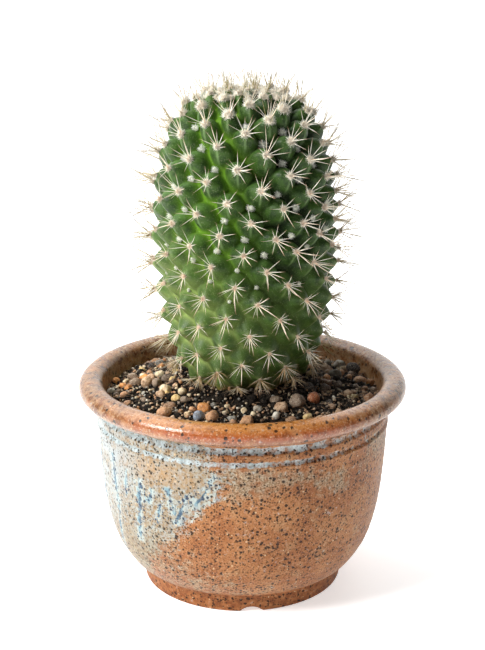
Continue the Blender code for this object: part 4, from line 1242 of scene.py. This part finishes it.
class Tubercles:
    """Relief of the stem: a rounded tubercle under each areole, with creases between."""

    def __init__(self, stem):
        self.stem = stem
        self.areoles = areole_places(stem)
        # A few more below the lowest ones, under the mix, bound the last row
        below = [spiral_place(stem, LOWEST_AREOLE - 1 - index) for index in range(BELOW_GROUND_AREOLES)]
        places = np.vstack((self.areoles, below))
        tips, normals, ups = stem.frame_at(places[:, 0], places[:, 1])
        depths = by_height(TUBERCLE_DEPTHS, tips[:, 2])
        leans = depths * by_height(TUBERCLE_LEANS, tips[:, 2])
        self.centres = tips - normals * depths[:, None] - ups * leans[:, None]
        self.all_tips = tips
        self.all_ups = ups
        self.all_sides = np.cross(ups, normals)
        self.tips = tips[:len(self.areoles)]
        self.normals = normals[:len(self.areoles)]
        self.ups = ups[:len(self.areoles)]
        self.facings = unit(self.normals + self.ups * AREOLE_TILT)
        self.beside = smoothstep(0.8, 0.97, np.abs(self.normals[:, 0]))
        apart = self.centres[:, None] - self.centres[None]
        spans = np.linalg.norm(apart, axis=-1) + np.eye(len(places)) * 9.0
        self.near = np.argsort(spans, axis=1)[:, :8]
        towards = self.centres[self.near] - self.centres[:, None]
        pull = np.ones(self.near.shape)
        own = np.arange(len(places))[:, None]
        pull[np.abs(self.near - own) == CREST_NEIGHBOUR] = CREST_PULL
        self.gauges = 2.0 * towards / (towards ** 2).sum(axis=-1, keepdims=True) * pull[..., None]

    def gauge(self, points, choice):
        """0 at a tubercle's middle and about 1 at the crease round it."""
        away = points - self.centres[choice]
        shares = np.maximum((away[:, None] * self.gauges[choice]).sum(axis=-1), 0.0)
        return (shares ** 5.0).sum(axis=-1) ** 0.2

    def relief(self, points, heights):
        """Relative height above the creases, the crease gauge and the nearest tubercle."""
        nearest = []
        for start in range(0, len(points), BATCH):
            away = points[start:start + BATCH, None] - self.centres[None]
            nearest.append(np.argsort((away ** 2).sum(axis=-1), axis=1)[:, :3])
        nearest = np.vstack(nearest)
        gauges = np.stack([self.gauge(points, nearest[:, rank]) for rank in range(3)], axis=-1)
        round_share = by_height(TUBERCLE_ROUNDNESS, heights)[:, None]
        reach = by_height(BULGE_REACHES, heights)[:, None]
        bulging = np.maximum(1.0 - (gauges / reach) ** 2.2, 0.0) ** BULGE_POWER
        gentle = 0.5 + 0.5 * np.cos(math.pi * np.minimum(gauges, 1.0))
        peaked = 0.85 * np.maximum(1.0 - gauges, 0.0) + 0.15 * gentle
        rises = np.sort(peaked + (bulging - peaked) * round_share, axis=1)
        soft = by_height(CREASE_SOFTNESS, heights)
        gap = np.maximum(soft - (rises[:, 2] - rises[:, 1]), 0.0)
        rise = rises[:, 2] + gap ** 2 / (4.0 * soft)
        return np.minimum(rise, 1.0), gauges.min(axis=1), nearest[:, 0]

    def surface(self, distance, angle):
        """Skin points, with their crease gauge and their places above and beside their areole."""
        place, normal, upward = self.stem.frame_at(distance, angle)
        height = place[..., 2]
        depth = by_height(TUBERCLE_DEPTHS, height)
        # Below the mix the relief dies out in the plain root
        depth = depth * smoothstep(71.5 * MM, 77.5 * MM, height)
        lean = depth * by_height(TUBERCLE_LEANS, height)
        base = place - normal * depth[..., None]
        shape = height.shape
        rise, crease, own = self.relief(base.reshape(-1, 3), height.reshape(-1))
        rise, crease, own = rise.reshape(shape), crease.reshape(shape), own.reshape(shape)
        away = place - self.all_tips[own]
        above = (away * self.all_ups[own]).sum(axis=-1)
        across = (away * self.all_sides[own]).sum(axis=-1)
        keel = np.exp(-(across / KEEL_HALF_WIDTH) ** 2) * smoothstep(-0.8 * MM, -2.5 * MM, above)
        rise = np.minimum(rise + KEEL_RISE * keel * smoothstep(1.0, 0.6, crease), 1.0)
        points = base + (normal * depth[..., None] + upward * lean[..., None]) * rise[..., None]
        return points, crease, above / MM, across / MM


def build_skin(tubercles):
    """Green skin of the stem, down to its root."""
    stem = tubercles.stem
    below = np.linspace(stem.lowest, -0.6 * MM, 16)
    rows = np.concatenate((below, np.linspace(0.0, stem.length - 0.25 * MM, SKIN_UP)))
    angles = even_angles(SKIN_AROUND)
    grid, crease, above, across = tubercles.surface(rows[:, None], angles[None])
    heights = grid[:, :, 2]
    sway = 6.0 * MM * np.sin(angles * 2.0 + 1.0)
    fields = {
        "crease": crease,
        "above": above,
        "across": across,
        "low": smoothstep(138.0 * MM, 104.0 * MM, heights + sway),
        # The next field marks the upper left of the stem, where the creases get painted light
        "side": smoothstep(0.5, -0.35, np.sin(angles)) * smoothstep(100.0 * MM, 125.0 * MM, heights),
        "base": smoothstep(84.0 * MM, 76.0 * MM, heights),
        # The next field marks the stem's left, which gets painted light, and its right, which gets painted
        # shade
        "painted_light_left": np.broadcast_to(smoothstep(0.6, -0.75, np.sin(angles)), heights.shape),
    }
    # The fans at both ends each have one more point
    fields = {name: np.append(values, (values[0, 0], values[-1, -1])) for name, values in fields.items()}
    points, faces = loft(grid)
    add_piece("cactus_skin", points, faces, skin_material(), fields, ("cactus",))


def tangent_frame(facings):
    """Sideways and upward directions across each areole."""
    sideways = unit(np.cross((0.0, 0.0, 1.0), facings) + 1e-6)
    return sideways, np.cross(facings, sideways)


def fanned(sideways, upward, facing, turn, stand):
    """A direction at a turn round an areole, standing up from it, and the flat part of it."""
    flat = sideways * math.cos(turn) + upward * math.sin(turn)
    return flat * math.cos(stand) + facing * math.sin(stand), flat


def tufts(centres, facings, radii, counts, lengths, rng):
    """Woolly tufts: fibres that stand out of a felted core, in every direction but down."""
    owner = np.repeat(np.arange(len(centres)), counts)
    total = len(owner)
    sideways, upward = tangent_frame(facings)
    turn = rng.uniform(0.0, math.tau, size=total)
    tip_over = np.arccos(rng.uniform(-0.05, 1.0, size=total))
    flat = sideways[owner] * np.cos(turn)[:, None] + upward[owner] * np.sin(turn)[:, None]
    outward = flat * np.sin(tip_over)[:, None] + facings[owner] * np.cos(tip_over)[:, None]
    swirl = unit(outward + rng.normal(scale=0.35, size=(total, 3)))
    starts = centres[owner] + outward * (radii[owner] * 0.42)[:, None]
    reaches = swirl * (lengths[owner] * rng.uniform(0.6, 1.15, size=total))[:, None]
    bows = rng.normal(scale=0.12, size=(total, 3)) * lengths[owner][:, None]
    widths = rng.uniform(0.1, 0.17, size=total) * MM
    return tapers(starts, reaches, widths, bows, 3, 1)


def woolly_piece(name, centres, facings, radii, counts, lengths, material, rng):
    """Tufts with their cores as one piece."""
    points, faces, share = tufts(centres, facings, radii, counts, lengths, rng)
    flat = np.full(len(centres), 0.85)
    core_points, core_faces, _ = lumps(centres, radii * CORE_SHARE, flat, 2, rng, 10, 4.0, 0.34)
    merged, merged_faces = joined((points, faces), (core_points, core_faces))
    field = np.append(share, np.full(len(core_points), 0.4))
    age = smoothstep(165.0 * MM, 105.0 * MM, merged[:, 2])
    add_piece(name, merged, merged_faces, material, {"share": field, "age": age})


def build_wool(tubercles):
    """Wool on the areoles, and in the axils above them on the upper stem."""
    rng = np.random.default_rng(WOOL_SEED)
    stem = tubercles.stem
    tips, facings = tubercles.tips, tubercles.facings
    heights = tips[:, 2]
    radii = np.interp(heights, WOOL_HEIGHTS, AREOLE_RADII) * rng.uniform(0.88, 1.12, size=len(tips))
    counts = np.interp(heights, WOOL_HEIGHTS, AREOLE_FIBRES).astype(int)
    cream = wool_material("areole_wool", (236, 218, 188), (255, 250, 234), (246, 206, 174))
    woolly_piece("areole_wool", tips, facings, radii, counts, radii * FIBRE_SHARE, cream, rng)

    # Felt fills the gaps between the young areoles, all but at the very middle
    count = CROWN_TUFTS
    reach = CROWN_FELT_RADIUS * np.sqrt((np.arange(count) + 4.0) / (count + 4.0))
    angle = np.arange(count) * TURN_STEP + rng.normal(scale=0.15, size=count)
    places, normals, _ = stem.frame_at(stem.length - reach, angle)
    radii = rng.uniform(1.4, 2.0, size=count) * MM
    places = places - normals * CROWN_FELT_DEPTH
    counts = np.full(count, CROWN_FIBRES)
    woolly_piece("crown_felt", places, normals, radii, counts, radii * FIBRE_SHARE, cream, rng)

    # Axil wool stands in the crease above an areole
    keep = (heights > AXIL_LOWEST) & (heights < AXIL_HIGHEST) & (rng.uniform(size=len(tips)) < 0.85)
    distance, angle = (tubercles.areoles[keep] + (AXIL_STEP, AXIL_TURN)).T
    places, _, _, _ = tubercles.surface(distance, angle)
    _, normals, _ = stem.frame_at(distance, angle)
    radii = np.interp(heights[keep], AXIL_HEIGHTS, AXIL_RADII)
    radii = radii * rng.uniform(0.75, 1.1, size=len(radii))
    counts = np.full(len(radii), AXIL_FIBRES)
    white = wool_material("axil_wool", (226, 230, 206), (252, 253, 246), (220, 222, 190))
    woolly_piece("axil_wool", places + normals * 1.0 * MM, normals, radii, counts, radii * 0.8, white, rng)


# Directions of the radial spines round an areole, in degrees from its right, and their lengths
RADIAL_TURNS = (90.0, 50.0, 130.0, 10.0, 170.0, -28.0, -152.0, -62.0, -118.0)
RADIAL_SIZES = (7.0, 7.4, 7.4, 7.9, 7.9, 8.3, 8.3, 7.7, 7.7)
LOW_RADIAL_TURNS = (74.0, 34.0, 146.0, 8.0, 172.0, -14.0, -166.0, -36.0, -144.0, -62.0, -118.0, -90.0)
LOW_RADIAL_SIZES = (4.4, 5.2, 5.2, 6.2, 6.2, 6.8, 6.8, 6.8, 6.8, 6.4, 6.4, 5.8)
SPINE_SEED = 33
SPINE_LOWEST = 78.8 * MM
LOW_STARS_BELOW = 120.0 * MM
CENTRAL_SPINES_BELOW = 179.0 * MM
CROWN_SPINES_ABOVE = 172.0 * MM
DRIED_SPINES_BELOW = 89.0 * MM
DRIED_SPINES = 15


def keep_clear(starts, reaches):
    """Bend spine tips clear of the mix and keep them under the part's full height."""
    ends = starts + reaches
    ends[:, 2] = np.maximum(ends[:, 2], SPINE_LOWEST)
    over = ends[:, 2] > TALLEST
    share = np.where(over, (TALLEST - starts[:, 2]) / np.maximum(ends[:, 2] - starts[:, 2], 1e-6), 1.0)
    return (ends - starts) * share[:, None]


def radial_spines(tubercles, rng):
    """The star of spines round every areole, each as its start, reach and width."""
    sideways, upward = tangent_frame(tubercles.facings)
    for number, tip in enumerate(tubercles.tips):
        low = tip[2] < LOW_STARS_BELOW
        star = zip(LOW_RADIAL_TURNS, LOW_RADIAL_SIZES) if low else zip(RADIAL_TURNS, RADIAL_SIZES)
        facing, beside = tubercles.facings[number], tubercles.beside[number]
        crown = smoothstep(166.0 * MM, 181.0 * MM, tip[2])
        for turn, size in star:
            if rng.uniform() < 0.04 + 0.4 * crown:
                continue
            turn = math.radians(turn + rng.normal(scale=8.0))
            stand = (0.78 if low else 0.9) + 0.2 * crown + rng.normal(scale=0.22)
            direction, flat = fanned(sideways[number], upward[number], facing, turn, stand)
            length = size * MM * rng.uniform(0.8, 1.15) * (1.0 + 0.2 * crown + 0.6 * beside)
            width = rng.uniform(0.12, 0.16) if low else rng.uniform(0.15, 0.19)
            start = tip + facing * 0.25 * MM + flat * 0.3 * MM
            yield start, direction * length, width * (1.0 + 0.25 * beside) * MM


def central_spines(tubercles, rng):
    """Longer spines that stand out of the areoles, down low on the stem and up near the crown."""
    sideways, upward = tangent_frame(tubercles.normals)
    for number, tip in enumerate(tubercles.tips):
        if tip[2] > CENTRAL_SPINES_BELOW:
            continue
        share = (tip[2] / MM - 80.0) / 95.0
        beside = tubercles.beside[number]
        count = rng.choice((1, 2, 3), p=(0.45, 0.4, 0.15)) + int(beside > 0.5)
        for index in range(count):
            slope = np.interp(share, (0.0, 0.3, 0.6, 0.8, 1.0), (-0.9, -0.8, -0.5, 0.0, 0.5))
            slope = slope * (1.0 - 0.5 * beside) + rng.normal(scale=0.2) + index * 0.6
            lean = rng.normal(scale=0.35 + 0.25 * index) + 0.12
            direction = tubercles.normals[number] + upward[number] * slope + sideways[number] * lean
            length = np.interp(share, (0.0, 0.4, 1.0), (6.8, 9.6, 11.0)) * MM * rng.uniform(0.8, 1.15)
            length *= 1.0 + 0.25 * beside
            width = rng.uniform(0.24, 0.32) * (1.0 - 0.2 * index) * MM
            start = tip + tubercles.facings[number] * 0.2 * MM
            yield start, direction / np.linalg.norm(direction) * length, width


def crown_spines(tubercles, rng):
    """Young spines that spread from the areoles round the apex, and a golden tuft in the middle."""
    for tip, normal in zip(tubercles.tips, tubercles.normals):
        if tip[2] < CROWN_SPINES_ABOVE:
            continue
        middle = smoothstep(14.0 * MM, 4.0 * MM, math.hypot(tip[0] - STEM_AXIS_X, tip[1]))
        for _ in range(2 + int(4 * middle)):
            spread = rng.normal(scale=0.45 - 0.15 * middle, size=3) * (1.0, 1.0, 0.3)
            direction = np.array((0.0, 0.0, 1.0)) + normal * 0.7 + spread
            direction /= np.linalg.norm(direction)
            start = tip + spread * 1.6 * MM
            highest = (TALLEST - start[2]) / max(direction[2], 0.4) * rng.uniform(0.65, 1.0)
            length = min(highest, rng.uniform(5.5, 14.0 - 3.0 * middle) * MM)
            yield start, direction * length, rng.uniform(0.14, 0.19) * MM


def dried_spines(tubercles, rng):
    """Extra tan spines that fan out of the oldest areoles, by the mix."""
    sideways, upward = tangent_frame(tubercles.facings)
    for number, tip in enumerate(tubercles.tips):
        if tip[2] > DRIED_SPINES_BELOW:
            continue
        facing = tubercles.facings[number]
        for _ in range(DRIED_SPINES):
            turn = math.radians(rng.uniform(-175.0, -5.0))
            direction, _ = fanned(sideways[number], upward[number], facing, turn, rng.uniform(0.1, 1.0))
            reach = direction * rng.uniform(3.8, 8.6) * MM
            yield tip + facing * 0.15 * MM, reach, rng.uniform(0.12, 0.18) * MM


def add_spines(name, spines, bow, material, rng, sides=5, steps=4):
    """One piece of spines, each slightly bowed."""
    starts, reaches, widths = (np.array(values) for values in zip(*spines))
    reaches = keep_clear(starts, reaches)
    bows = rng.normal(scale=bow, size=starts.shape) * np.linalg.norm(reaches, axis=1, keepdims=True)
    # Spines are browner near the mix and at the crown, and get painted shade at the sides of the stem
    beside = np.abs(starts[:, 0] - STEM_AXIS_X) / np.hypot(starts[:, 0] - STEM_AXIS_X, starts[:, 1])
    brown = smoothstep(0.88, 0.99, beside)
    brown = np.maximum(brown, 0.55 * smoothstep(92.0 * MM, 84.0 * MM, starts[:, 2]))
    brown = np.maximum(brown, 0.3 * smoothstep(182.0 * MM, 189.0 * MM, starts[:, 2] + reaches[:, 2]))
    points, faces, share = tapers(starts, reaches, widths, bows, sides, steps)
    points[:, 2] = np.minimum(points[:, 2], TALLEST)
    fields = {"share": share, "brown": np.repeat(brown, sides * steps + 1)}
    add_piece(name, points, faces, material, fields)


def build_spines(tubercles):
    """All the spines, in four pieces."""
    rng = np.random.default_rng(SPINE_SEED)
    cream = spine_material("cream_spines", (250, 222, 192), (255, 250, 234), (222, 180, 140))
    pink = spine_material("long_spines", (244, 204, 172), (255, 240, 216), (196, 148, 112))
    golden = spine_material("young_spines", (206, 204, 116), (142, 132, 60), (42, 34, 14))
    dry = spine_material("dried_spines", (166, 120, 80), (198, 156, 110), (126, 86, 50), 0.6)
    add_spines("radial_spines", radial_spines(tubercles, rng), 0.012, cream, rng)
    add_spines("central_spines", central_spines(tubercles, rng), 0.02, pink, rng, 6, 5)
    add_spines("crown_spines", crown_spines(tubercles, rng), 0.03, golden, rng)
    add_spines("dried_spines", dried_spines(tubercles, rng), 0.05, dry, rng)


# Scene

def add_stage(name, points, faces, material):
    """A surface that isn't part of the object."""
    item = mesh_item(name, points, faces, material)


def build_floor():
    """Plain pale floor that curves up far behind the part, on a wider one for the other views."""
    turns = np.linspace(0.1, math.pi / 2.0, 14)
    bend = [(FLOOR_BACK + math.sin(t) * FLOOR_BEND, FLOOR_BEND - math.cos(t) * FLOOR_BEND) for t in turns]
    path = [(FLOOR_FRONT, 0.0), (FLOOR_BACK, 0.0), *bend, (FLOOR_BACK + FLOOR_BEND, FLOOR_TOP)]
    points = [(x, y, z - FLOOR_GAP) for y, z in path for x in (-FLOOR_HALF_WIDTH, FLOOR_HALF_WIDTH)]
    faces = [(2 * i, 2 * i + 1, 2 * i + 3, 2 * i + 2) for i in range(len(path) - 1)]
    material = floor_material()
    add_stage("floor", points, faces, material)
    corners = [(x * FAR_FLOOR, y * FAR_FLOOR, -0.001) for x, y in ((-1, -1), (1, -1), (1, 1), (-1, 1))]
    add_stage("far_floor", corners, [(0, 1, 2, 3)], material)


def add_light(name, place, target, size, power):
    """Soft square light that faces a point."""
    light = bpy.data.lights.new(name, "AREA")
    light.shape = "SQUARE"
    light.size = size
    light.energy = power
    item = bpy.data.objects.new(name, light)
    item.location = place
    item.rotation_euler = (Vector(target) - Vector(place)).to_track_quat("-Z", "Y").to_euler()
    bpy.context.scene.collection.objects.link(item)


def build_studio():
    """Camera, soft light and a white surround."""
    scene = bpy.context.scene
    camera = bpy.data.cameras.new("camera")
    camera.sensor_width = SENSOR_WIDTH
    camera.sensor_fit = "AUTO"
    camera.lens = FOCAL_PIXELS / max(PICTURE) * SENSOR_WIDTH
    camera.clip_start = 0.01
    item = bpy.data.objects.new("camera", camera)
    item.location = CAMERA_PLACE
    item.rotation_euler = (math.pi / 2.0 - CAMERA_DOWN, 0.0, 0.0)
    scene.collection.objects.link(item)
    scene.camera = item
    scene.view_settings.view_transform = "Standard"
    world = bpy.data.worlds.new("white_surround")
    world.use_nodes = True
    surround = world.node_tree.nodes["Background"]
    surround.inputs["Color"].default_value = (1.0, 1.0, 1.0, 1.0)
    surround.inputs["Strength"].default_value = WORLD_STRENGTH
    scene.world = world
    for light in LIGHTS:
        add_light(*light)


def main():
    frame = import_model()
    build_studio()
    build_floor()
    build_pot()
    build_soil_bed()
    build_stones()
    build_clumps()
    build_crumbs()
    tubercles = Tubercles(Stem())
    build_skin(tubercles)
    build_wool(tubercles)
    build_spines(tubercles)
    crock = frame["nodes"]["drain_crock"]
    crock.data.materials.clear()
    crock.data.materials.append(potsherd_material())


main()
